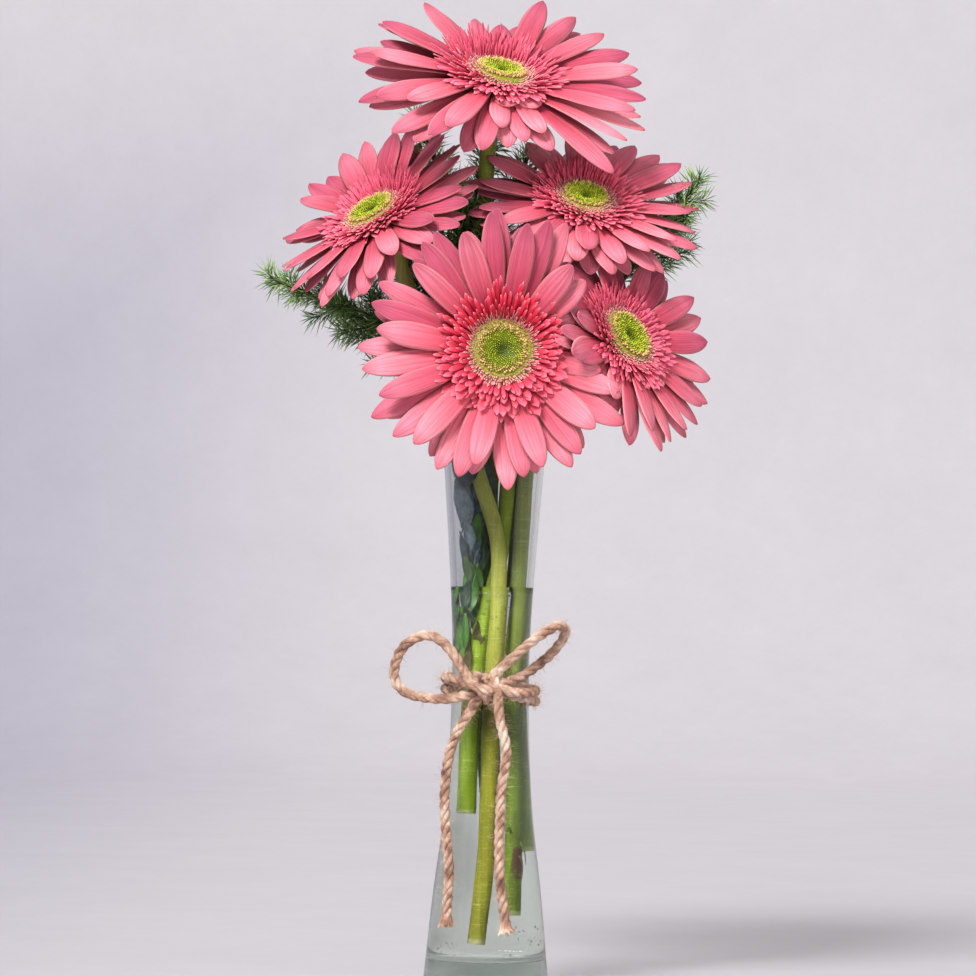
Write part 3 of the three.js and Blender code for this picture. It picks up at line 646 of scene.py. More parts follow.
BLADE_MARKS = ("along", "across", "upper", "draw", "cast")
ray_blade = template("ray_blade", unit_blade(
    "ray_blade", base=0.34, widest=0.64, blunt=1.9, rows=15, columns=13, pleat=0.35))
for number, bloom in enumerate(BLOOMS, 1):
    mesh = grown(f"rays_{number}", bent_blades, seats("rays", rays(bloom, number)), BLADE_MARKS,
                 blade=ray_blade, thickness=RAY_THICKNESS * MM, cup=RAY_CUP, finish=petal)
    mesh.transform(bloom_frame(bloom))
    piece(f"rays_{number}", mesh, petal, "petals", f"petals_{number}")
bpy.data.objects.remove(ray_blade)

# The crown: rows of short florets between the rays and the disc, grown from the disc's rim. The front bloom's
# are broad tongues, the others' are fine threads, and a pale curled fringe of styles rims every disc.
TONGUE_ROWS = [
    {"count": 46, "share": 0.98, "root": 1.2, "sink": 2.2, "lean": 5, "width": 3.9},
    {"count": 48, "share": 0.86, "root": 0.4, "sink": 1.8, "lean": 10, "width": 3.6},
    {"count": 50, "share": 0.74, "root": -0.4, "sink": 1.4, "lean": 16, "width": 3.2},
    {"count": 52, "share": 0.62, "root": -1.2, "sink": 1.1, "lean": 23, "width": 2.7},
    {"count": 54, "share": 0.5, "root": -2.0, "sink": 0.8, "lean": 32, "width": 2.2},
]
THREAD_ROWS = [
    {"count": 62, "share": 0.94, "root": 0.9, "sink": 2.4, "lean": 14, "width": 2.3},
    {"count": 64, "share": 0.84, "root": 0.5, "sink": 2.0, "lean": 18, "width": 2.1},
    {"count": 66, "share": 0.72, "root": 0.0, "sink": 1.7, "lean": 22, "width": 1.9},
    {"count": 68, "share": 0.59, "root": -0.5, "sink": 1.3, "lean": 28, "width": 1.6},
    {"count": 70, "share": 0.46, "root": -1.0, "sink": 1.0, "lean": 36, "width": 1.4},
]
FRINGE_ROWS = [
    {"count": 90, "share": 0.31, "root": -0.4, "sink": 0.9, "lean": 28, "width": 1.1},
    {"count": 94, "share": 0.26, "root": -0.9, "sink": 0.7, "lean": 36, "width": 1.0},
    {"count": 96, "share": 0.21, "root": -1.4, "sink": 0.5, "lean": 44, "width": 0.9},
    {"count": 92, "share": 0.17, "root": -1.9, "sink": 0.3, "lean": 54, "width": 0.8},
    {"count": 86, "share": 0.13, "root": -2.4, "sink": 0.1, "lean": 66, "width": 0.7},
]
CROWN_ROWS = [THREAD_ROWS, THREAD_ROWS, THREAD_ROWS, TONGUE_ROWS, THREAD_ROWS]
FRINGE_SHIFT = [0, 0, 0, -1.4, 0]
CROWN_ENDS = [(1.0, 0.55), (1.1, 0.85), (1.15, 0.9), (1.12, 1.0), (1.05, 1.0)]
CROWN_RISE = [30, 18, 18, 4, 10]
CROWN_THICKNESS = 0.5
CROWN_ARCH = -8
CROWN_CUP = 0.3
CROWN_WIDTHS = (1.22, 0.58)
CROWN_RANGES = {"azimuth": (-0.35, 0.35), "length": (0.8, 1.16), "tilt": (-8, 8), "width": (0.7, 1.2),
                "sway": (-0.08, 0.08), "twist": (-25, 25), "droop": (-0.096, 0.064)}
CHANCE_DRAW = 9


def crown(bloom, rows, seed):
    """A bloom's short florets, row by row. Those up the bloom are narrower, and stand up in the crown."""
    at_top, at_bottom = CROWN_ENDS[seed - 1]
    shift, rise = (FRINGE_SHIFT[seed - 1], 0) if rows is FRINGE_ROWS else (0, CROWN_RISE[seed - 1])
    blades = []
    for row, form in enumerate(rows):
        root = bloom["disc"] + form["root"] + shift
        for i in range(form["count"]):
            item = seed * 1000 + row * 90 + i
            drawn = drawn_from(CROWN_RANGES, item)
            azimuth = 2 * math.pi * (i + row / 2 + drawn["azimuth"]) / form["count"]
            upward = math.cos(azimuth)
            tilt, _ = local_shape(bloom, azimuth)
            reach = 1 + ((at_top if upward > 0 else at_bottom) - 1) * upward ** 2
            blades.append(blade_seat(
                azimuth, root, form["sink"], arch=CROWN_ARCH, chance=draw(item, CHANCE_DRAW),
                length=(bloom["crown"] - root) * form["share"] * reach * drawn["length"],
                tilt=tilt + form["lean"] + rise * max(0, upward) + drawn["tilt"],
                width=form["width"] * drawn["width"] * between(CROWN_WIDTHS, 0.5 + 0.5 * upward),
                sway=drawn["sway"], twist=drawn["twist"], droop=drawn["droop"]))
    return blades


def floret_skin(name, lower, upper, shades):
    """The velvet of short florets, by ramps along them for the lower and the upper side of the bloom; the
    upper side's is painted shade.
    """
    made, tree = material(name)
    along, draw_of, cast = (add(tree, "ShaderNodeAttribute", attribute_name=mark).outputs["Fac"]
                            for mark in ("along", "draw", "cast"))
    # Up the bloom the ramp for the upper side is darker: painted shade
    below, shaded_above = (add(tree, "ShaderNodeValToRGB", {"Fac": along}, stops) for stops in (lower, upper))
    tones = add(tree, "ShaderNodeMix", {0: cast, 6: below, 7: shaded_above}, data_type="RGBA").outputs[2]
    shade = add(tree, "ShaderNodeMapRange", {"Value": draw_of, "To Min": shades[0], "To Max": shades[1]})
    colour = add(tree, "ShaderNodeVectorMath", {0: tones, "Scale": shade}, operation="SCALE")
    shader = add(tree, "ShaderNodeBsdfPrincipled", {
        "Base Color": colour, "Roughness": 0.55, "Specular IOR Level": 0.25,
        "Subsurface Weight": 0.12, "Subsurface Radius": (1.0, 0.35, 0.3), "Subsurface Scale": 0.001})
    add(tree, "ShaderNodeOutputMaterial", {"Surface": shader})
    return made


# Short florets are velvet: the front bloom's crimson at the root with a paler tip, the threads pink, and the
# styles pale pinkish beige. Up the bloom all are painted darker as shade, the front bloom's in deeper crimson
# and the threads in mauve
tongue_skin = floret_skin(
    "gerbera crown tongue, velvet",
    {0.0: "#860A26", 0.5: "#BE2642", 0.8: "#D8485E", 0.94: "#E4667A", 1.0: "#E88C92"},
    {0.0: "#860A20", 0.4: "#B6182E", 0.8: "#CE2E46", 0.95: "#DA5468", 1.0: "#E48488"}, (0.78, 1.12))
thread_skin = floret_skin(
    "gerbera crown thread, velvet", {0.0: "#9C1836", 0.4: "#CA3C56", 0.85: "#E2607A", 1.0: "#EE8894"},
    {0.0: "#94163A", 0.4: "#C43C58", 0.8: "#D65A72", 0.93: "#C64A64", 1.0: "#A8365A"}, (0.8, 1.14))
style_skin = floret_skin(
    "gerbera style", {0.0: "#A0604C", 0.4: "#C47868", 0.75: "#DC8C88", 1.0: "#EAAAA2"},
    {0.0: "#90503E", 0.4: "#B46664", 0.75: "#C67478", 1.0: "#D88C8C"}, (0.72, 1.1))

crown_blade = template("crown_blade", unit_blade(
    "crown_blade", base=0.42, widest=0.76, blunt=3.0, rows=6, columns=5))
style_blade = template("style_blade", unit_blade(
    "style_blade", base=0.5, widest=0.7, blunt=2.6, rows=5, columns=3))
for number, (bloom, rows) in enumerate(zip(BLOOMS, CROWN_ROWS), 1):
    crown_skin = tongue_skin if rows is TONGUE_ROWS else thread_skin
    for name, forms, blade, finish in (("crown", rows, crown_blade, crown_skin),
                                       ("fringe", FRINGE_ROWS, style_blade, style_skin)):
        mesh = grown(name, bent_blades, seats(name, crown(bloom, forms, number)), BLADE_MARKS,
                     blade=blade, thickness=CROWN_THICKNESS * MM, cup=CROWN_CUP, finish=finish)
        mesh.transform(bloom_frame(bloom))
        piece(f"{name}_{number}", mesh, finish, "petals")
for blade in (crown_blade, style_blade):
    bpy.data.objects.remove(blade)

# The disc: closed green buds packed in a spiral over a low dome, a little sunk in the middle, with a ring
# of open cream-yellow florets at the rim. The buds grow from the receptacle that the pad stands for.
DISC_BUDS = 430
DOME = [(0.0, 0.3), (0.12, 0.45), (0.28, 1.0), (0.56, 1.7), (0.82, 1.9), (1.0, 1.1)]
DOME_HEIGHT = 2.0
DISC_INSET = [2.8, 2.8, 2.8, 4.2, 2.8]
OPEN_FROM = [0.72, 0.84, 0.86, 0.76, 0.86]
OPEN_STAGE = 0.7
BUD_GROWTH = {0.0: 0.2, 0.3: 0.3, 0.64: 0.4, 0.74: 0.52, 1.0: 0.6}
BUD_SCALE = 2.0
BUD_SIZES = (0.65, 1.3)
BUD_SPLAY = (-0.25, 0.55)
BUD_SEED = 7
BUD_PROFILE = [[0.24, -0.4], [0.4, 0.6], [0.3, 1.1], [0.08, 1.3]]
BUD_SIDES = 6
TIP_FROM = 0.2
TIP_RUN = 0.9
PAD_RIM = [(0.6, -0.9), (0.4, 0.2)]
PAD_SINK = 0.2
PAD_SIDES = 40
GOLDEN_ANGLE = math.pi * (3 - math.sqrt(5))

# Buds on a spiral by the golden angle, larger and splayed outwards towards the rim, where they are open
floret_spiral, given, end = node_group("floret spiral", {
    "Seat": "Geometry", "Bud": "Object", "Count": "Int", "Disc Radius": "Float", "Open From": "Float",
    "Finish": "Material"})
tree = floret_spiral
index = add(tree, "GeometryNodeInputIndex")
share = add(tree, "ShaderNodeMath", {0: index, 1: 0.5}, operation="ADD")
share = add(tree, "ShaderNodeMath", {0: share, 1: given["Count"]}, operation="DIVIDE")
share = add(tree, "ShaderNodeMath", {0: share}, operation="SQRT")
closed = add(tree, "ShaderNodeMapRange", {
    "Value": share, "From Max": given["Open From"], "To Max": OPEN_STAGE}, clamp=False)
opened = add(tree, "ShaderNodeMapRange", {
    "Value": share, "From Min": given["Open From"], "To Min": OPEN_STAGE}, clamp=False)
stage = add(tree, "ShaderNodeMath", {0: closed, 1: opened}, operation="MAXIMUM")
spin = add(tree, "ShaderNodeMath", {0: index, 1: GOLDEN_ANGLE}, operation="MULTIPLY")
dome = add(tree, "ShaderNodeFloatCurve", {"Value": share}, {x: y / DOME_HEIGHT for x, y in DOME})
growth = add(tree, "ShaderNodeFloatCurve", {"Value": stage}, BUD_GROWTH)
height = add(tree, "ShaderNodeMath", {0: dome, 1: DOME_HEIGHT * MM}, operation="MULTIPLY")
radius = add(tree, "ShaderNodeMath", {0: share, 1: given["Disc Radius"]}, operation="MULTIPLY")
flat = add(tree, "ShaderNodeCombineXYZ", {"X": radius, "Z": height})
flat = add(tree, "ShaderNodeVectorRotate", {"Vector": flat, "Angle": spin}, rotation_type="Z_AXIS")
splay = add(tree, "ShaderNodeMapRange", {
    "Value": share, "From Min": 0.3, "To Min": BUD_SPLAY[0], "To Max": BUD_SPLAY[1]})
lean = add(tree, "ShaderNodeCombineXYZ", {"X": splay, "Z": 1.0})
lean = add(tree, "ShaderNodeVectorRotate", {"Vector": lean, "Angle": spin}, rotation_type="Z_AXIS")
facing = add(tree, "FunctionNodeAlignRotationToVector", {"Vector": lean}, axis="Z")
chance = add(tree, "FunctionNodeRandomValue", {2: BUD_SIZES[0], 3: BUD_SIZES[1], "Seed": BUD_SEED},
             data_type="FLOAT")
size = add(tree, "ShaderNodeMath", {0: growth, 1: BUD_SCALE}, operation="MULTIPLY")
size = add(tree, "ShaderNodeMath", {0: size, 1: chance}, operation="MULTIPLY")
points = add(tree, "GeometryNodePoints", {"Count": given["Count"], "Position": flat})
for label, value in (("stage", stage), ("draw", chance)):
    points = add(tree, "GeometryNodeStoreNamedAttribute", {
        "Geometry": points, "Name": label, "Value": value}, data_type="FLOAT", domain="POINT")
bud = add(tree, "GeometryNodeObjectInfo", {"Object": given["Bud"]}).outputs["Geometry"]
end(add(tree, "GeometryNodeInstanceOnPoints", {"Points": points, "Instance": bud, "Rotation": facing,
                                               "Scale": size}))

# The buds are green and waxy, darkest in the middle, which is painted shade in the sunk centre; those at the
# rim have opened to cream-yellow tips. Their tips are lighter and their feet darker, partly their own colour
# and partly painted light on the tops and shade between them
bud_skin, tree = material("gerbera disc floret")
stage, draw_of, tip = (add(tree, "ShaderNodeAttribute", attribute_name=name).outputs["Fac"]
                       for name in ("stage", "draw", "tip"))
# Darkest in the middle and darker at the buds' feet: painted shade; the lighter tips are partly painted
# highlight
greens_and_shade = add(tree, "ShaderNodeValToRGB", {"Fac": stage}, {
    0.0: "#343E0C", 0.18: "#5C6A12", 0.34: "#909C1E", 0.62: "#8E9420", 0.74: "#5E5A1C", 1.0: "#8E6C3A"})
tips_and_highlights = add(tree, "ShaderNodeValToRGB", {"Fac": stage}, {
    0.0: "#4E5E12", 0.18: "#86941C", 0.34: "#B8C434", 0.62: "#B0B63C", 0.74: "#BCAE50", 1.0: "#CCA274"})
colour = add(tree, "ShaderNodeMix", {0: tip, 6: greens_and_shade, 7: tips_and_highlights}, data_type="RGBA")
shade = add(tree, "ShaderNodeMapRange", {
    "Value": draw_of, "From Min": BUD_SIZES[0], "From Max": BUD_SIZES[1], "To Min": 0.72, "To Max": 1.12})
colour = add(tree, "ShaderNodeVectorMath", {0: colour.outputs[2], "Scale": shade}, operation="SCALE")
shader = add(tree, "ShaderNodeBsdfPrincipled", {
    "Base Color": colour, "Roughness": 0.5, "Specular IOR Level": 0.2, "Subsurface Weight": 0.1,
    "Subsurface Radius": (0.8, 0.8, 0.2), "Subsurface Scale": 0.0006})
add(tree, "ShaderNodeOutputMaterial", {"Surface": shader})

bud_mesh = turned("bud", BUD_PROFILE, BUD_SIDES)
bud_mesh.attributes.new("tip", "FLOAT", "POINT").data.foreach_set(
    "value", [min(1.0, max(0.0, (v.co.z / MM - TIP_FROM) / TIP_RUN)) for v in bud_mesh.vertices])
bud = template("bud", bud_mesh)
for number, (bloom, open_from, inset) in enumerate(zip(BLOOMS, OPEN_FROM, DISC_INSET), 1):
    radius = bloom["disc"]
    buds = grown(f"disc_florets_{number}", floret_spiral, seats("seat", [{"draw": 0.0}]),
                 ("stage", "draw", "tip"), bud=bud, count=DISC_BUDS, disc_radius=(radius - inset) * MM,
                 open_from=open_from, finish=bud_skin)
    pad = turned("pad", [[POLE, PAD_RIM[0][1]], *[[radius + out, z] for out, z in PAD_RIM],
                         *[[x * radius, y - PAD_SINK] for x, y in DOME[-2:0:-1]],
                         [POLE, DOME[0][1] - PAD_SINK]], PAD_SIDES)
    pad.attributes.new("stage", "FLOAT", "POINT").data.foreach_set(
        "value", [min(1.0, math.hypot(v.co.x, v.co.y) / (radius * MM)) * OPEN_STAGE for v in pad.vertices])
    mesh = joined(f"disc_florets_{number}", [buds, pad])
    mesh.transform(bloom_frame(bloom))
    piece(f"disc_florets_{number}", mesh, bud_skin, "disc_florets", f"disc_{number}")
bpy.data.objects.remove(bud)

# The fern: dark green asparagus fern, with stiff needles all round its twigs and shoots like a bottle
# brush. Each spray's twig stands in the vase's neck and leans out behind the blooms.
TWIG_RADIUS = 0.9
TWIG_STATIONS = 40
TWIG_SIDES = 7
SHOOT_LENGTH = 23
SHOOT_SPACING = 5
SHOOT_RADIUS = 0.25
SHOOT_SIDES = 4
SHOOT_BOW = [(0, 0, 0), (0, -0.03, 0.34), (0, -0.02, 0.68), (0, 0.05, 1.0)]
SHOOT_SIZES = (0.7, 1.1)
SHOOT_SLANT = (0.55, 1.05)
SHOOT_TAPER = (1.0, 0.15)
NEEDLE_LENGTH = 9.5
NEEDLE_WIDTH = 0.6
NEEDLE_WAIST = 0.45
NEEDLE_CORNERS = (0.3, 2.4, 4.5)
NEEDLE_SPACING = 0.19
NEEDLE_SIZES = (0.6, 1.1)
NEEDLE_SLANT = (0.45, 1.15)
FERNS = {
    "left": [
        {"points": [[-9.3, 4.6, 137], [-9.6, 6, 155], [-11, 8, 200], [-13.2, 10, 236], [-15, 11.2, 244],
                    [-24, 15, 258], [-45, 18, 274], [-70, 20, 287], [-96, 20, 298]], "bare": 0.55},
        {"points": [[-24, 15, 258], [-38, 13, 271], [-56, 12, 283], [-72, 12, 290]], "bare": 0.2},
        {"points": [[-24, 15, 258], [-33, 20, 275], [-38, 24, 295], [-36, 26, 315]], "bare": 0.1},
    ],
    "back": [
        {"points": [[2.8, 10.8, 150], [4, 12.6, 200], [2.4, 15.2, 236], [-3, 20, 262], [-10, 26, 290],
                    [-19, 30, 330], [-36, 32, 368]], "bare": 0.45},
        {"points": [[-10, 26, 290], [-2, 28, 310], [6, 30, 330], [12, 31, 352]], "bare": 0.1},
        {"points": [[-3, 20, 262], [-6, 26, 300], [-10, 28, 335], [-2, 28, 364]], "bare": 0.1},
        {"points": [[-10, 26, 290], [-14, 24, 315], [-20, 22, 340]], "bare": 0.1},
        {"points": [[-3, 20, 262], [-14, 22, 284], [-26, 22, 300], [-34, 20, 312]], "bare": 0.2},
    ],
    "right": [
        {"points": [[8.4, 10.4, 172], [8.8, 12.4, 214], [10.4, 14, 240], [24, 22, 262], [45, 27, 290],
                    [68, 32, 318], [85, 31, 343]], "bare": 0.72},
        {"points": [[45, 27, 290], [64, 27, 312], [78, 26, 328]], "bare": 0.4},
    ],
}


def spline(name, points):
    """A curve of one open spline through points in metres."""
    curve = bpy.data.curves.new(name, "CURVE")
    curve.dimensions = "3D"
    line = curve.splines.new("POLY")
    line.points.add(len(points) - 1)
    line.points.foreach_set("co", np.hstack([points, np.ones((len(points), 1))]).ravel())
    return curve


def leaned(tree, rotation, slant, spin):
    """A rotation that leans by a slant from the one given and is spun about that one's own axis."""
    turn = add(tree, "ShaderNodeCombineXYZ", {"X": slant, "Z": spin})
    turn = add(tree, "FunctionNodeEulerToRotation", {0: turn})
    return add(tree, "FunctionNodeRotateRotation", {"Rotation": rotation, "Rotate By": turn},
               rotation_space="LOCAL")


# A twig with shoots set round it by the golden angle, shorter towards its tip, and needles round them all
fern_spray, given, end = node_group("fern spray", {
    "Twig": "Geometry", "Twig Radius": "Float", "Bare Share": "Float", "Shoot": "Object",
    "Shoot Length": "Float", "Shoot Spacing": "Float", "Needle": "Object", "Needle Spacing": "Float",
    "Seed": "Int", "Finish": "Material"})
tree = fern_spray
wood = add(tree, "GeometryNodeCurvePrimitiveCircle", {
    "Resolution": TWIG_SIDES, "Radius": given["Twig Radius"]})
twig = add(tree, "GeometryNodeCurveToMesh", {
    "Curve": given["Twig"], "Profile Curve": wood, "Fill Caps": True})
leafy = add(tree, "GeometryNodeTrimCurve", {"Curve": given["Twig"], 2: given["Bare Share"]})
run = add(tree, "GeometryNodeSplineParameter").outputs["Factor"]
leafy = add(tree, "GeometryNodeStoreNamedAttribute", {"Geometry": leafy, "Name": "run", "Value": run},
            data_type="FLOAT", domain="POINT")
joints = add(tree, "GeometryNodeCurveToPoints", {"Curve": leafy, "Length": given["Shoot Spacing"]},
             mode="LENGTH")
index = add(tree, "GeometryNodeInputIndex")
spin = add(tree, "ShaderNodeMath", {0: index, 1: GOLDEN_ANGLE}, operation="MULTIPLY")
shoot_slant, shoot_chance, needle_slant, needle_chance = (
    add(tree, "FunctionNodeRandomValue", {2: low, 3: high, "Seed": given["Seed"]}, data_type="FLOAT")
    for low, high in (SHOOT_SLANT, SHOOT_SIZES, NEEDLE_SLANT, NEEDLE_SIZES))
aim = leaned(tree, joints.outputs["Rotation"], shoot_slant, spin)
run = add(tree, "GeometryNodeInputNamedAttribute", {"Name": "run"}, data_type="FLOAT")
taper = add(tree, "ShaderNodeMapRange", {
    "Value": run, "From Min": 0.3, "To Min": SHOOT_TAPER[0], "To Max": SHOOT_TAPER[1]})
size = add(tree, "ShaderNodeMath", {0: taper, 1: shoot_chance}, operation="MULTIPLY")
size = add(tree, "ShaderNodeMath", {0: size, 1: given["Shoot Length"]}, operation="MULTIPLY")
shoot = add(tree, "GeometryNodeObjectInfo", {"Object": given["Shoot"]}).outputs["Geometry"]
shoots = add(tree, "GeometryNodeInstanceOnPoints", {
    "Points": joints.outputs["Points"], "Instance": shoot, "Rotation": aim, "Scale": size})
shoots = add(tree, "GeometryNodeRealizeInstances", {"Geometry": shoots})
wire = add(tree, "GeometryNodeCurvePrimitiveCircle", {
    "Resolution": SHOOT_SIDES, "Radius": SHOOT_RADIUS * MM})
wires = add(tree, "GeometryNodeCurveToMesh", {"Curve": shoots, "Profile Curve": wire, "Fill Caps": True})
bearers = add(tree, "GeometryNodeJoinGeometry", {"Geometry": shoots})
tree.links.new(leafy.outputs["Geometry"], bearers.inputs["Geometry"])
perches = add(tree, "GeometryNodeCurveToPoints", {"Curve": bearers, "Length": given["Needle Spacing"]},
              mode="LENGTH")
aim = leaned(tree, perches.outputs["Rotation"], needle_slant, spin)
points = add(tree, "GeometryNodeStoreNamedAttribute", {
    "Geometry": perches.outputs["Points"], "Name": "draw", "Value": needle_chance},
    data_type="FLOAT", domain="POINT")
needle = add(tree, "GeometryNodeObjectInfo", {"Object": given["Needle"]}).outputs["Geometry"]
needles = add(tree, "GeometryNodeInstanceOnPoints", {
    "Points": points, "Instance": needle, "Rotation": aim, "Scale": needle_chance})
spray = add(tree, "GeometryNodeJoinGeometry", {"Geometry": needles})
for part in (twig, wires):
    tree.links.new(part.outputs["Mesh"], spray.inputs["Geometry"])
end(spray)

# Fern needles are dark green and matt, browner on the twig, and lighter on some needles
needle_skin, tree = material("asparagus fern needle")
draw_of = add(tree, "ShaderNodeAttribute", attribute_name="draw").outputs["Fac"]
tones = add(tree, "ShaderNodeValToRGB", {"Fac": draw_of}, {
    0.0: "#46421E", 0.5: "#2C5220", 0.8: "#467434", 1.0: "#86A458"})
shader = add(tree, "ShaderNodeBsdfPrincipled", {
    "Base Color": tones, "Roughness": 0.55, "Specular IOR Level": 0.35})
add(tree, "ShaderNodeOutputMaterial", {"Surface": shader})

shoot_line = template("shoot", spline("shoot", np.array(SHOOT_BOW)))
needle_mesh = bpy.data.meshes.new("needle")
needle_waist = [(NEEDLE_WIDTH / 2 * math.cos(a), NEEDLE_WIDTH / 2 * math.sin(a), NEEDLE_LENGTH * NEEDLE_WAIST)
                for a in NEEDLE_CORNERS]
needle_points = np.array([*needle_waist, (0, 0, 0), (0, 0, NEEDLE_LENGTH)]) * MM
needle_mesh.from_pydata(needle_points.tolist(), [], [
    (1, 0, 3), (2, 1, 3), (0, 2, 3), (0, 1, 4), (1, 2, 4), (2, 0, 4)])
needle_shape = template("needle", needle_mesh)
for seed, (name, branches) in enumerate(FERNS.items()):
    sprays = [grown(
        "fern", fern_spray, spline("twig", even(smooth(branch["points"], steps=8), TWIG_STATIONS) * MM),
        ("draw",), twig_radius=TWIG_RADIUS * MM, bare_share=branch["bare"], shoot=shoot_line,
        shoot_length=SHOOT_LENGTH * MM, shoot_spacing=SHOOT_SPACING * MM, needle=needle_shape,
        needle_spacing=NEEDLE_SPACING * MM, seed=seed * 10 + number, finish=needle_skin)
        for number, branch in enumerate(branches)]
    piece(f"fern_spray_{name}", joined("fern_spray", sprays), needle_skin, "fern", f"fern_{name}")
for shape in (shoot_line, needle_shape):
    bpy.data.objects.remove(shape)

# Greenery in the neck: small stiff pointed leaves that fill the space to the left of the stems, slate green
# where the light skims them and dark green below, with browned ones under water.
NECK_LEAVES = [
    {"count": 18, "height": (190, 212), "root": (5, 15.5), "length": (16, 25), "width": 9,
     "tone": (0.66, 1.14)},
    {"count": 24, "height": (170, 192), "root": (5, 14), "length": (12, 19), "width": 6,
     "tone": (0.46, 0.94)},
    {"count": 22, "height": (152, 172), "root": (4, 13), "length": (10, 16), "width": 4.6,
     "tone": (0.26, 0.74)},
    {"count": 18, "height": (128, 152), "root": (4, 12.5), "length": (11, 18), "width": 4,
     "tone": (0.06, 0.54)},
]
NECK_SIDE = (140, 222)
LEAF_THICKNESS = 0.5
LEAF_CUP = 0.1
LEAF_ARCH = 14
LEAF_TILT = (78, 102)
LEAF_WIDTHS = (0.7, 1.1)
LEAF_SWAY = (-0.15, 0.15)
LEAF_TWIST = (50, 130)
LEAF_CLEARANCE = 0.4

# These leaves are leathery and a little glossy, with a paler midrib and a mottle of 4 mm
leaf_skin, tree = material("butcher's broom leaf")
along, across, draw_of = (add(tree, "ShaderNodeAttribute", attribute_name=name).outputs["Fac"]
                          for name in ("along", "across", "draw"))
tones = add(tree, "ShaderNodeValToRGB", {"Fac": draw_of}, {
    0.0: "#503C20", 0.25: "#2A3C12", 0.42: "#42701F", 0.55: "#2E4A1E", 0.7: "#26342C", 0.85: "#3C4A52",
    1.0: "#6C7A84"})
midrib = add(tree, "ShaderNodeMath", {0: across}, operation="ABSOLUTE")
midrib = add(tree, "ShaderNodeMapRange", {"Value": midrib, "From Max": 0.12, "To Min": 1.35, "To Max": 1.0})
place = add(tree, "ShaderNodeTexCoord").outputs["Object"]
mottle = add(tree, "ShaderNodeTexNoise", {"Vector": place, "Scale": 260, "Detail": 5, "Roughness": 0.7})
shade = add(tree, "ShaderNodeMapRange", {"Value": mottle, "From Min": 0.35, "From Max": 0.65,
                                         "To Min": 0.45, "To Max": 1.3})
shade = add(tree, "ShaderNodeMath", {0: shade, 1: midrib}, operation="MULTIPLY")
colour = add(tree, "ShaderNodeVectorMath", {0: tones, "Scale": shade}, operation="SCALE")
shader = add(tree, "ShaderNodeBsdfPrincipled", {
    "Base Color": colour, "Roughness": 0.34, "Specular IOR Level": 0.6})
add(tree, "ShaderNodeOutputMaterial", {"Surface": shader})

leaf_blade = template("leaf_blade", unit_blade(
    "leaf_blade", base=0.14, widest=0.42, blunt=1.5, rows=11, columns=9))
leaves = []
for row, form in enumerate(NECK_LEAVES):
    for i in range(form["count"]):
        item = 2000 + row * 40 + i
        leaves.append(blade_seat(
            math.radians(between(NECK_SIDE, (i + 0.5 * draw(item, 1)) / form["count"])),
            between(form["root"], draw(item, 2)), -between(form["height"], draw(item, 3)),
            length=between(form["length"], draw(item, 4)), tilt=between(LEAF_TILT, draw(item, 5)),
            arch=LEAF_ARCH, width=form["width"] * between(LEAF_WIDTHS, draw(item, 6)),
            chance=min(1, between(form["tone"], draw(item, 7))), sway=between(LEAF_SWAY, draw(item, 8)),
            twist=between(LEAF_TWIST, draw(item, 9))))
neck_mesh = grown("neck_leaves", bent_blades, seats("leaves", leaves), BLADE_MARKS, blade=leaf_blade,
                  thickness=LEAF_THICKNESS * MM, cup=LEAF_CUP, finish=leaf_skin)
for corner in neck_mesh.vertices:
    room = wall_radius(corner.co.z / MM, WALL + LEAF_CLEARANCE) * MM
    share = min(1.0, room / math.hypot(corner.co.x, corner.co.y))
    corner.co = (corner.co.x * share, corner.co.y * share, corner.co.z)
piece("neck_leaves", neck_mesh, leaf_skin, "fern")
bpy.data.objects.remove(leaf_blade)

# Air bubbles: beads of 0.3 to 1.2 mm that come out of the water as it stands. They cling to the stems under
# water, and to the glass just below the surface and above the foot.
STEM_BUBBLES = 34
STEM_BUBBLE_SIZES = (0.3, 0.7)
STEM_BUBBLE_HEIGHTS = (24, 166)
STEM_BUBBLE_STAND = 0.15
WALL_BUBBLES = [(70, (142, 167), (165, 300)), (26, (14.5, 27), (-75, -15)), (16, (14, 20), (195, 240))]
WALL_BUBBLE_SIZES = (0.4, 1.2)
WALL_BUBBLE_STAND = 0.5
WALL_BUBBLE_CROWDING = 0.6
BEAD_ROWS = 6
BEAD_SIDES = 8
bead = turned("bead", [[max(POLE, 0.5 * math.sin(a)), -0.5 * math.cos(a)]
                       for a in np.linspace(0, math.pi, BEAD_ROWS)], BEAD_SIDES)
unit_points = np.array([v.co for v in bead.vertices])
unit_faces = [list(face.vertices) for face in bead.polygons]
bead_points, bead_faces = [], []


def add_bead(centre, size):
    """One more bubble, by its centre and its diameter in millimetres."""
    first = len(bead_points) * len(unit_points)
    bead_faces.extend([[corner + first for corner in face] for face in unit_faces])
    bead_points.append(unit_points * size + np.array(centre) * MM)


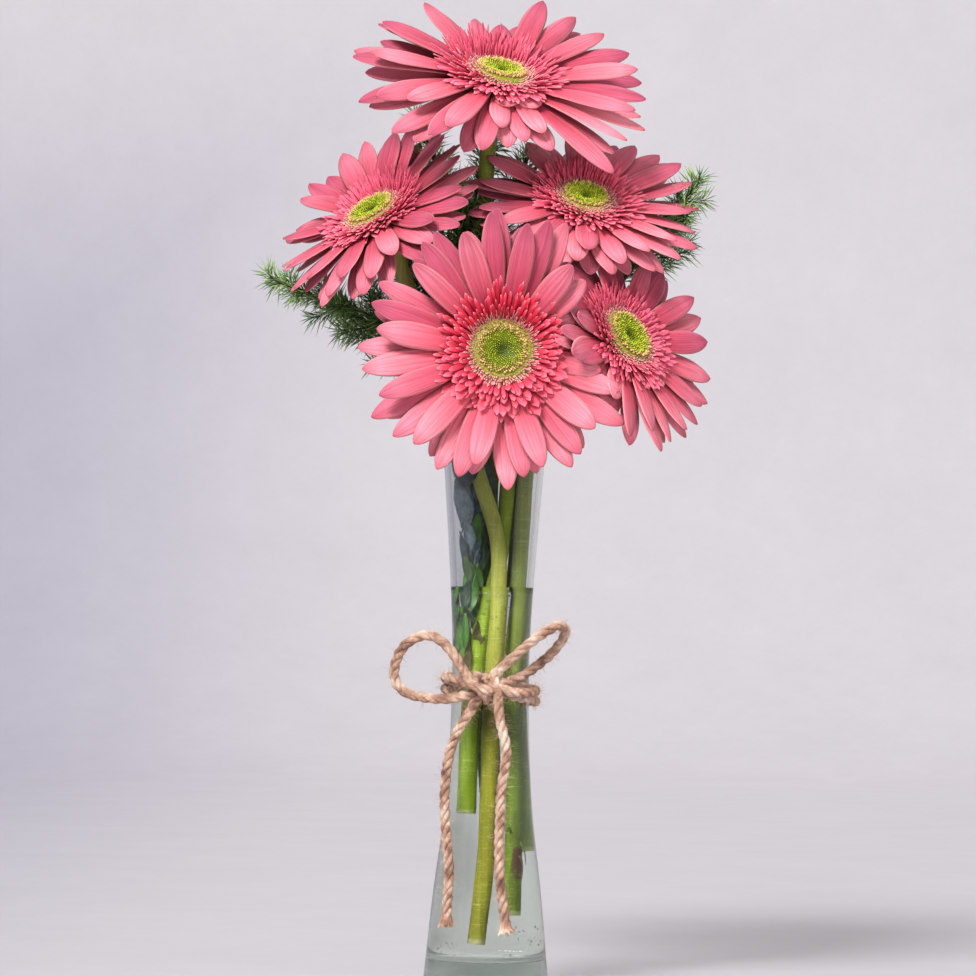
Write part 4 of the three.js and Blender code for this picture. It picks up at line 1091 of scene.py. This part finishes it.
for number, points in enumerate(STEMS):
    line = even(smooth(points, steps=12), count=160)
    line = line[(line[:, 2] < STEM_BUBBLE_HEIGHTS[1]) & (line[:, 2] > STEM_BUBBLE_HEIGHTS[0])]
    for i in range(STEM_BUBBLES):
        item = 3000 + number * 50 + i
        spot, angle = line[int(draw(item, 1) * len(line))], 2 * math.pi * draw(item, 2)
        add_bead(spot + np.array([math.cos(angle), math.sin(angle), 0]) * (STEM_RADIUS + STEM_BUBBLE_STAND),
                 between(STEM_BUBBLE_SIZES, draw(item, 3)))
for group, (count, heights, angles) in enumerate(WALL_BUBBLES):
    for i in range(count):
        item = 3500 + group * 100 + i
        height = between(heights, draw(item, 1) ** WALL_BUBBLE_CROWDING)
        angle = math.radians(between(angles, draw(item, 2)))
        reach = wall_radius(height, WALL + WALL_BUBBLE_STAND)
        add_bead([reach * math.cos(angle), reach * math.sin(angle), height],
                 between(WALL_BUBBLE_SIZES, draw(item, 3)))
bubble_mesh = bpy.data.meshes.new("bubbles")
bubble_mesh.from_pydata(np.vstack(bead_points).tolist(), [], bead_faces)
bubble_mesh.shade_smooth()

# Air under water mirrors light at its skin: seen from the water, its IOR is 1 / 1.33
air, tree = material("air bubble in water")
shader = add(tree, "ShaderNodeBsdfPrincipled", {
    "Base Color": linear("#FFFFFF"), "Roughness": 0.05, "IOR": 0.75, "Transmission Weight": 1.0})
add(tree, "ShaderNodeOutputMaterial", {"Surface": shader})
bubbles = piece("bubbles", bubble_mesh, air, "water")
bubbles.visible_shadow = False

# The twine bow: three-ply jute, 4.2 mm thick, two turns round the waist, knotted in front with two loops
# and two hanging tails. It holds by its own knot and rests against the glass.
TWINE_DIAMETER = 4.2
PLY_OFFSET = 1.08
PLY_RADIUS = 1.12
LAY_LENGTH = 13.5
WRAP_LEVELS = [130, 121.5]
WRAP_TILT = 3.5
WRAP_START = -112
WRAP_SWEEP = 682
WRAP_CLEARANCE = 0.6
WRAP_STATIONS = 200
TWINE_STATIONS = 60
TWINE_SPACING = 0.8
PLY_SIDES = 10
HAIR_LENGTH = 4
HAIR_RADIUS = 0.06
HAIR_BEND = [(0, 0, 0), (0, 0.2, 0.6), (0, 0.65, 1.0)]
HAIR_TAPER = [1, 0.8, 0.3]
HAIR_TILT = (0.5, 1.5)
HAIR_SIZES = (0.3, 1.0)
HAIRS_PER_MM2 = 0.24
FRAY_STRANDS = 70
FRAY_RADIUS = 1.9
FRAY_SPREAD = (1.0, 2.1)
FRAY_REACH = (-0.6, 1.2)
FRAY_DEPTHS = (5, 2)
FRAY_SWIRL = 0.5
FRAY_EARLY_SPREAD = 0.3
FRAY_END_WIDTH = 0.7
STRAND_RADII = [0.13] * 8 + [0.04]
KNOT = [
    [[-10, -22.4, 131.6], [-6.8, -25.2, 128.6], [-3.4, -26, 124.4], [-0.8, -23.8, 121]],
    [[-8, -22.8, 123.8], [0, -23.4, 125.6], [6.8, -22.6, 128.6]],
    [[3.4, -24, 133.6], [1.2, -25.2, 131.6], [1.8, -26.6, 128.6], [2.9, -26.9, 124.6], [3.4, -26.4, 119.5]],
]
LOOP_LEFT = [[-11.2, -22.1, 133.2], [-14.9, -22.6, 139.2], [-21.3, -22.4, 145.9], [-27.5, -22, 147.8],
             [-35.8, -21.4, 143.5], [-39.8, -21, 135.2], [-39.7, -20.6, 128.9], [-35.4, -20.6, 124],
             [-25, -21.4, 121.7], [-16.5, -22.2, 121.7], [-8.6, -22.8, 123.6]]
LOOP_RIGHT = [[4.6, -24.1, 134.8], [8.4, -24.6, 138.4], [16.1, -25, 145.3], [22.3, -24.6, 149.9],
              [28, -22.4, 152.7], [30.8, -18.2, 150.6], [29.2, -16, 146.2], [24.5, -15.8, 140.4],
              [18.4, -18, 135.2], [13.2, -20.8, 131.6], [7.4, -22.5, 128.9]]
TAIL_LEFT = [[-6.1, -23.3, 120.6], [-9.2, -24, 115], [-12.4, -23.4, 110], [-15.2, -22.1, 103.5],
             [-17.1, -21.3, 96], [-18.2, -20.6, 84.4], [-18, -20.2, 73.2], [-16.9, -20.2, 61.6],
             [-15.9, -20.6, 50.4], [-16.5, -20.5, 35.9], [-16.4, -20.8, 27.5]]
TAIL_RIGHT = [[3.4, -26.4, 119], [4.2, -26.4, 113], [6.9, -26, 101.7], [6.2, -25.8, 91.3],
              [5.1, -25.6, 84.7], [4.9, -25.4, 73.5], [4.7, -25.2, 58.9], [5.3, -25.1, 47.7],
              [6.8, -25.1, 36], [8.6, -25.2, 25.2]]
TUCKED_ENDS = [
    [[-18.6, -13.5, 130.8], [-15.6, -20.6, 130], [-9.5, -25.4, 128], [-3, -27.2, 126], [1, -27, 125]],
    [[18.4, -13, 125.4], [15.4, -20.4, 124.6], [9.5, -25, 124.8], [3.5, -27, 126.4], [-0.5, -27, 128]],
    [LOOP_LEFT[1], LOOP_LEFT[0], [-7.6, -23.4, 128.6], [-3, -24.6, 124.6]],
    [LOOP_LEFT[-2], LOOP_LEFT[-1], [-3.2, -24.8, 125.2], [1.5, -25, 128]],
    [LOOP_RIGHT[1], LOOP_RIGHT[0], [1.4, -24.4, 131.4], [-2.6, -24, 129]],
    [LOOP_RIGHT[-2], LOOP_RIGHT[-1], [3, -23.8, 127], [-1.6, -24.2, 126]],
    [TAIL_LEFT[1], TAIL_LEFT[0], [-3.4, -24.8, 124.4], [0.4, -25.6, 127]],
    [TAIL_RIGHT[1], TAIL_RIGHT[0], [2.9, -26.7, 124.8], [1.4, -26.2, 129]],
]

# Three plies laid round each other along a line
laid_twine, given, end = node_group("laid twine", {
    "Line": "Geometry", "Ply Offset": "Float", "Ply Radius": "Float", "Lay Length": "Float",
    "Finish": "Material"})
tree = laid_twine
line = add(tree, "GeometryNodeResampleCurve", {"Curve": given["Line"], "Length": TWINE_SPACING * MM},
           mode="LENGTH")
run = add(tree, "GeometryNodeSplineParameter").outputs["Length"]
normal = add(tree, "GeometryNodeInputNormal")
binormal = add(tree, "ShaderNodeVectorMath", {0: add(tree, "GeometryNodeInputTangent"), 1: normal},
               operation="CROSS_PRODUCT")
turns = add(tree, "ShaderNodeMath", {0: run, 1: given["Lay Length"]}, operation="DIVIDE")
profile = add(tree, "GeometryNodeCurvePrimitiveCircle", {
    "Resolution": PLY_SIDES, "Radius": given["Ply Radius"]})
around = add(tree, "GeometryNodeSplineParameter").outputs["Factor"]
profile = add(tree, "GeometryNodeStoreNamedAttribute", {
    "Geometry": profile, "Name": "round", "Value": around}, data_type="FLOAT", domain="POINT")
line = add(tree, "GeometryNodeStoreNamedAttribute", {"Geometry": line, "Name": "drawn", "Value": run},
           data_type="FLOAT", domain="POINT")
plies = add(tree, "GeometryNodeJoinGeometry")
for ply in range(3):
    angle = add(tree, "ShaderNodeMath", {0: turns, 1: 2 * math.pi, 2: ply * 2 * math.pi / 3},
                operation="MULTIPLY_ADD")
    across = add(tree, "ShaderNodeVectorMath", {
        0: normal, "Scale": add(tree, "ShaderNodeMath", {0: angle}, operation="COSINE")}, operation="SCALE")
    along = add(tree, "ShaderNodeVectorMath", {
        0: binormal, "Scale": add(tree, "ShaderNodeMath", {0: angle}, operation="SINE")}, operation="SCALE")
    outward = add(tree, "ShaderNodeVectorMath", {0: across, 1: along}, operation="ADD")
    offset = add(tree, "ShaderNodeVectorMath", {0: outward, "Scale": given["Ply Offset"]},
                 operation="SCALE")
    moved = add(tree, "GeometryNodeSetPosition", {"Geometry": line, "Offset": offset})
    numbered = add(tree, "GeometryNodeStoreNamedAttribute", {
        "Geometry": moved, "Name": "ply", "Value": float(ply)}, data_type="FLOAT", domain="POINT")
    tube = add(tree, "GeometryNodeCurveToMesh", {
        "Curve": numbered, "Profile Curve": profile, "Fill Caps": True})
    tree.links.new(tube.outputs["Mesh"], plies.inputs["Geometry"])
end(plies)

# Loose fibres that stand off a surface at random angles and lengths
fluffed, given, end = node_group("loose fibres", {
    "Surface": "Geometry", "Hair": "Object", "Hair Density": "Float", "Seed": "Int", "Finish": "Material"})
tree = fluffed
scatter = add(tree, "GeometryNodeDistributePointsOnFaces", {
    "Mesh": given["Surface"], "Density": given["Hair Density"], "Seed": given["Seed"]})
tilt, spin, length = (
    add(tree, "FunctionNodeRandomValue", {2: low, 3: high, "Seed": seed}, data_type="FLOAT")
    for low, high, seed in ((*HAIR_TILT, 5), (0.0, 2 * math.pi, 6), (*HAIR_SIZES, 8)))
aim = leaned(tree, scatter.outputs["Rotation"], tilt, spin)
hair = add(tree, "GeometryNodeObjectInfo", {"Object": given["Hair"]}).outputs["Geometry"]
hairs = add(tree, "GeometryNodeInstanceOnPoints", {
    "Points": scatter.outputs["Points"], "Instance": hair, "Rotation": aim, "Scale": length})
end(hairs)

# Jute is pale brown bast fibre, spun with streaks of darker and lighter strands and rough to the touch
jute, tree = material("jute twine, three-ply")
drawn, around, ply = (add(tree, "ShaderNodeAttribute", attribute_name=name).outputs["Fac"]
                      for name in ("drawn", "round", "ply"))
slanted = add(tree, "ShaderNodeMath", {0: drawn, 1: 330, 2: around}, operation="MULTIPLY_ADD")
fibre_place = add(tree, "ShaderNodeCombineXYZ", {
    "X": add(tree, "ShaderNodeMath", {0: slanted, 1: 14}, operation="MULTIPLY"),
    "Y": add(tree, "ShaderNodeMath", {0: drawn, 1: 220}, operation="MULTIPLY"), "Z": ply})
fibres = add(tree, "ShaderNodeTexNoise", {
    "Vector": fibre_place, "Scale": 1.6, "Detail": 5, "Roughness": 0.75})
place = add(tree, "ShaderNodeTexCoord").outputs["Object"]
dirt = add(tree, "ShaderNodeTexNoise", {"Vector": place, "Scale": 130, "Detail": 3})
mixed = add(tree, "ShaderNodeMath", {0: fibres, 1: dirt}, operation="ADD")
mixed = add(tree, "ShaderNodeMapRange", {"Value": mixed, "From Min": 0.8, "From Max": 1.2})
tones = add(tree, "ShaderNodeValToRGB", {"Fac": mixed}, {
    0.0: "#70442F", 0.35: "#B6846A", 0.65: "#E2B599", 1.0: "#FBE4D2"})
relief = add(tree, "ShaderNodeBump", {"Height": fibres, "Strength": 1.0, "Distance": 0.0009})
shader = add(tree, "ShaderNodeBsdfPrincipled", {
    "Base Color": tones, "Roughness": 0.9, "Specular IOR Level": 0.15, "Sheen Weight": 0.3,
    "Normal": relief})
add(tree, "ShaderNodeOutputMaterial", {"Surface": shader})

waist = wall_radius(sum(WRAP_LEVELS) / 2) + TWINE_DIAMETER / 2 + WRAP_CLEARANCE
wrap = []
for share in np.linspace(0, 1, WRAP_STATIONS):
    angle = math.radians(WRAP_START + WRAP_SWEEP * share)
    height = between(WRAP_LEVELS, share) - WRAP_TILT * math.cos(angle)
    wrap.append([waist * math.cos(angle), waist * math.sin(angle), height])


def laid(name, line):
    """A mesh of three-ply twine along a line in metres."""
    return grown(name, laid_twine, spline(name, line), ("drawn", "round", "ply"), ply_offset=PLY_OFFSET * MM,
                 ply_radius=PLY_RADIUS * MM, lay_length=LAY_LENGTH * MM, finish=jute)


def fluff(name, surface, seed, tuft=()):
    """A piece of the loose fibres that stand off a twine's surface, and of a frayed end's tuft."""
    hairs = grown(name, fluffed, surface.copy(), hair=hair_shape, hair_density=HAIRS_PER_MM2 / MM**2,
                  seed=seed, finish=jute)
    return piece(name, joined(name, [hairs, *tuft]) if tuft else hairs, jute, "twine")


def frayed(line):
    """A tuft of loose fibres at the end of a line: each leaves the twine before its end and spreads."""
    end, toward = line[-1], line[-1] - line[-4]
    toward = toward / np.linalg.norm(toward)
    side = np.cross(toward, (0, 1, 0))
    side = side / np.linalg.norm(side)
    other = np.cross(toward, side)
    meshes = []
    for i in range(FRAY_STRANDS):
        angle = 2 * math.pi * draw(i, 21)
        start = FRAY_RADIUS * draw(i, 22) ** 0.5
        spread, reach = between(FRAY_SPREAD, draw(i, 23)), between(FRAY_REACH, draw(i, 24))
        away = side * math.cos(angle + FRAY_SWIRL * draw(i, 25)) + other * math.sin(angle)
        route = [end + (toward * along + away * start * wide) * MM for along, wide in (
            (-FRAY_DEPTHS[0], 1), (-FRAY_DEPTHS[1], 1 + spread * FRAY_EARLY_SPREAD),
            (reach, FRAY_END_WIDTH + spread))]
        meshes.append(skin("strand", sweep(smooth(route, steps=4), np.array(STRAND_RADII) * MM, sides=4)))
    return meshes


hair_shape = template("hair", skin("hair", sweep(
    np.array(HAIR_BEND) * HAIR_LENGTH * MM, np.array(HAIR_TAPER) * HAIR_RADIUS * MM, sides=3)))
wrap_mesh = laid("bow_wrap", np.array(wrap) * MM)
knot_mesh = joined("bow_knot", [laid("bow_knot", even(smooth(route, steps=12), TWINE_STATIONS) * MM)
                                for route in (*KNOT, *TUCKED_ENDS)])
fluff("fibres_wrap", wrap_mesh, 1)
fluff("fibres_knot", knot_mesh, 2)
piece("bow_wrap", wrap_mesh, jute, "twine", "twine_wrap")
piece("bow_knot", knot_mesh, jute, "twine", "twine_knot")
for name, route, far_end, lay in (("loop_left", LOOP_LEFT, "object", "loose"),
                                  ("loop_right", LOOP_RIGHT, "object", "loose"),
                                  ("tail_left", TAIL_LEFT, "bare", "hanging"),
                                  ("tail_right", TAIL_RIGHT, "bare", "hanging")):
    line = even(smooth(route, steps=12), TWINE_STATIONS) * MM
    mesh = laid("bow_" + name, line)
    fibres = fluff("fibres_" + name, mesh, 3, frayed(line) if far_end == "bare" else ())
    cord = piece("bow_" + name, mesh, jute, "twine", "twine_" + name)
    length = float(np.linalg.norm(np.diff(line, axis=0), axis=1).sum())
bpy.data.objects.remove(hair_shape)

# The studio, in metres: a pale seamless sweep of painted plaster, soft frontal light from the left and above,
# and the camera 2 m away at the height of the water, looking up by about a degree with a slight lean.
FLOOR_FRONT = -0.9
WALL_DISTANCE = 2.8
WALL_HEIGHT = 3.6
SWEEP_RADIUS = 0.6
SWEEP_HALF_WIDTH = 5.0
SWEEP_STEPS = 15
SWEEP_ANGLES = (6, 90)
# The sweep glows a little though it is no lamp: painted light
PAPER_GLOW = 0.25
LAMPS = [
    {"name": "key", "place": (-0.75, -1.65, 1.78), "aim": (0, 0, 0.28), "size": 0.7, "power": 88},
    {"name": "fill", "place": (0.6, -1.8, 0.2), "aim": (0, 0, 0.15), "size": 1.2, "power": 21},
    {"name": "top", "place": (0.1, -0.1, 1.7), "aim": (0, 0, 0.3), "size": 1.0, "power": 4},
    {"name": "wash", "place": (0.3, 0.9, 2.6), "aim": (0.3, 2.9, 0.6), "size": 1.8, "power": 22},
]
CAMERA_DISTANCE = 2.0
EYE_LEVEL = 0.167
FOCAL_PIXELS = 4762
IMAGE_SIDE = 976
EYE_ROW = 590
AXIS_COLUMN = 485.5
AXIS_LEAN = 0.017
SENSOR = 36.0
FAR_CLIP = 20

sweep_start = WALL_DISTANCE - SWEEP_RADIUS
sweep_line = [[FLOOR_FRONT, 0.0], [sweep_start, 0.0],
              *[[sweep_start + SWEEP_RADIUS * math.sin(a), SWEEP_RADIUS * (1 - math.cos(a))]
                for a in np.radians(np.linspace(*SWEEP_ANGLES, SWEEP_STEPS))], [WALL_DISTANCE, WALL_HEIGHT]]
sheet = bpy.data.meshes.new("sweep")
corners = [(side * SWEEP_HALF_WIDTH, y, z) for y, z in sweep_line for side in (-1, 1)]
sheet.from_pydata(corners, [], [(i, i + 1, i + 3, i + 2) for i in range(0, len(corners) - 2, 2)])
sheet.shade_smooth()

# Painted plaster is matt and pale lilac grey with a faint mottle. It is painted lighter to the right and
# above as light and darker towards the front as shade, and glows faintly as painted light
paper, tree = material("painted plaster sweep")
place = add(tree, "ShaderNodeTexCoord").outputs["Object"]
mottle = add(tree, "ShaderNodeTexNoise", {"Vector": place, "Scale": 9, "Detail": 9, "Roughness": 0.85})
shade = add(tree, "ShaderNodeMapRange", {"Value": mottle, "From Min": 0.3, "From Max": 0.7,
                                         "To Min": 0.95, "To Max": 1.03})
spot = add(tree, "ShaderNodeSeparateXYZ", {0: place}).outputs
# Lighter to the right and above: painted light
rightward = add(tree, "ShaderNodeMapRange", {"Value": spot["X"], "From Min": -0.5, "From Max": -0.06},
                interpolation_type="SMOOTHSTEP")
upward_share = add(tree, "ShaderNodeMapRange", {"Value": spot["Z"], "From Min": 0.35, "From Max": 0.76},
                   interpolation_type="SMOOTHSTEP")
painted_light = add(tree, "ShaderNodeMath", {0: rightward, 1: upward_share}, operation="MAXIMUM")
tones = add(tree, "ShaderNodeMix", {
    0: painted_light, 6: linear("#B6B3BF"), 7: linear("#CECACE")}, data_type="RGBA")
# Darker towards the front, on the floor round the vase: painted shade
painted_front_shade = add(tree, "ShaderNodeMapRange", {"Value": spot["Y"], "From Min": 0.1, "From Max": 2.2,
                                        "To Min": 0.62, "To Max": 1.0})
shade = add(tree, "ShaderNodeMath", {0: shade, 1: painted_front_shade}, operation="MULTIPLY")
colour = add(tree, "ShaderNodeVectorMath", {0: tones.outputs[2], "Scale": shade}, operation="SCALE")
# The emission makes the plaster glow: painted light
shader = add(tree, "ShaderNodeBsdfPrincipled", {
    "Base Color": colour, "Roughness": 0.95, "Specular IOR Level": 0.1,
    "Emission Color": colour, "Emission Strength": PAPER_GLOW})
add(tree, "ShaderNodeOutputMaterial", {"Surface": shader})
backdrop = bpy.data.objects.new("sweep", sheet)
bpy.context.scene.collection.objects.link(backdrop)
sheet.materials.append(paper)

world = bpy.data.worlds.new("studio")
bpy.context.scene.world = world
world.use_nodes = True
tree = world.node_tree
tree.nodes.clear()
direction = add(tree, "ShaderNodeTexCoord").outputs["Generated"]
toward = add(tree, "ShaderNodeSeparateXYZ", {0: direction}).outputs["Y"]
brightness = add(tree, "ShaderNodeMapRange", {"Value": toward, "From Min": -0.7, "From Max": 0.2,
                                              "To Min": 0.1, "To Max": 0.55})
surroundings = add(tree, "ShaderNodeBackground", {"Color": linear("#F3F1F4"), "Strength": brightness})
add(tree, "ShaderNodeOutputWorld", {"Surface": surroundings})

# The fill is low in front, where the vase would mirror it, so glass and water don't show it
for form in LAMPS:
    light = bpy.data.lights.new(form["name"], "AREA")
    light.size = form["size"]
    light.energy = form["power"]
    lamp = bpy.data.objects.new(form["name"], light)
    lamp.location = form["place"]
    lamp.visible_glossy = lamp.visible_transmission = form["name"] != "fill"
    beam = Vector(form["aim"]) - Vector(form["place"])
    lamp.rotation_euler = beam.to_track_quat("-Z", "Y").to_euler()
    bpy.context.scene.collection.objects.link(lamp)

lens = bpy.data.cameras.new("camera")
lens.sensor_width = SENSOR
lens.lens = FOCAL_PIXELS / IMAGE_SIDE * SENSOR
lens.clip_end = FAR_CLIP
camera = bpy.data.objects.new("camera", lens)
bpy.context.scene.collection.objects.link(camera)
bpy.context.scene.camera = camera
pitch = math.atan((EYE_ROW - IMAGE_SIDE / 2) / FOCAL_PIXELS)
axis_at_middle = AXIS_COLUMN + IMAGE_SIDE / 2 * AXIS_LEAN - IMAGE_SIDE / 2
right = Vector((math.cos(AXIS_LEAN), 0, math.sin(AXIS_LEAN)))
forward = Vector((0, math.cos(pitch), math.sin(pitch)))
upward = right.cross(forward).normalized()
turn = Matrix((upward.cross(-forward), upward, -forward)).transposed().to_4x4()
start = Vector((-axis_at_middle * CAMERA_DISTANCE / FOCAL_PIXELS, -CAMERA_DISTANCE, EYE_LEVEL))
camera.matrix_world = Matrix.Translation(start) @ turn

bpy.context.scene.view_settings.view_transform = "Standard"
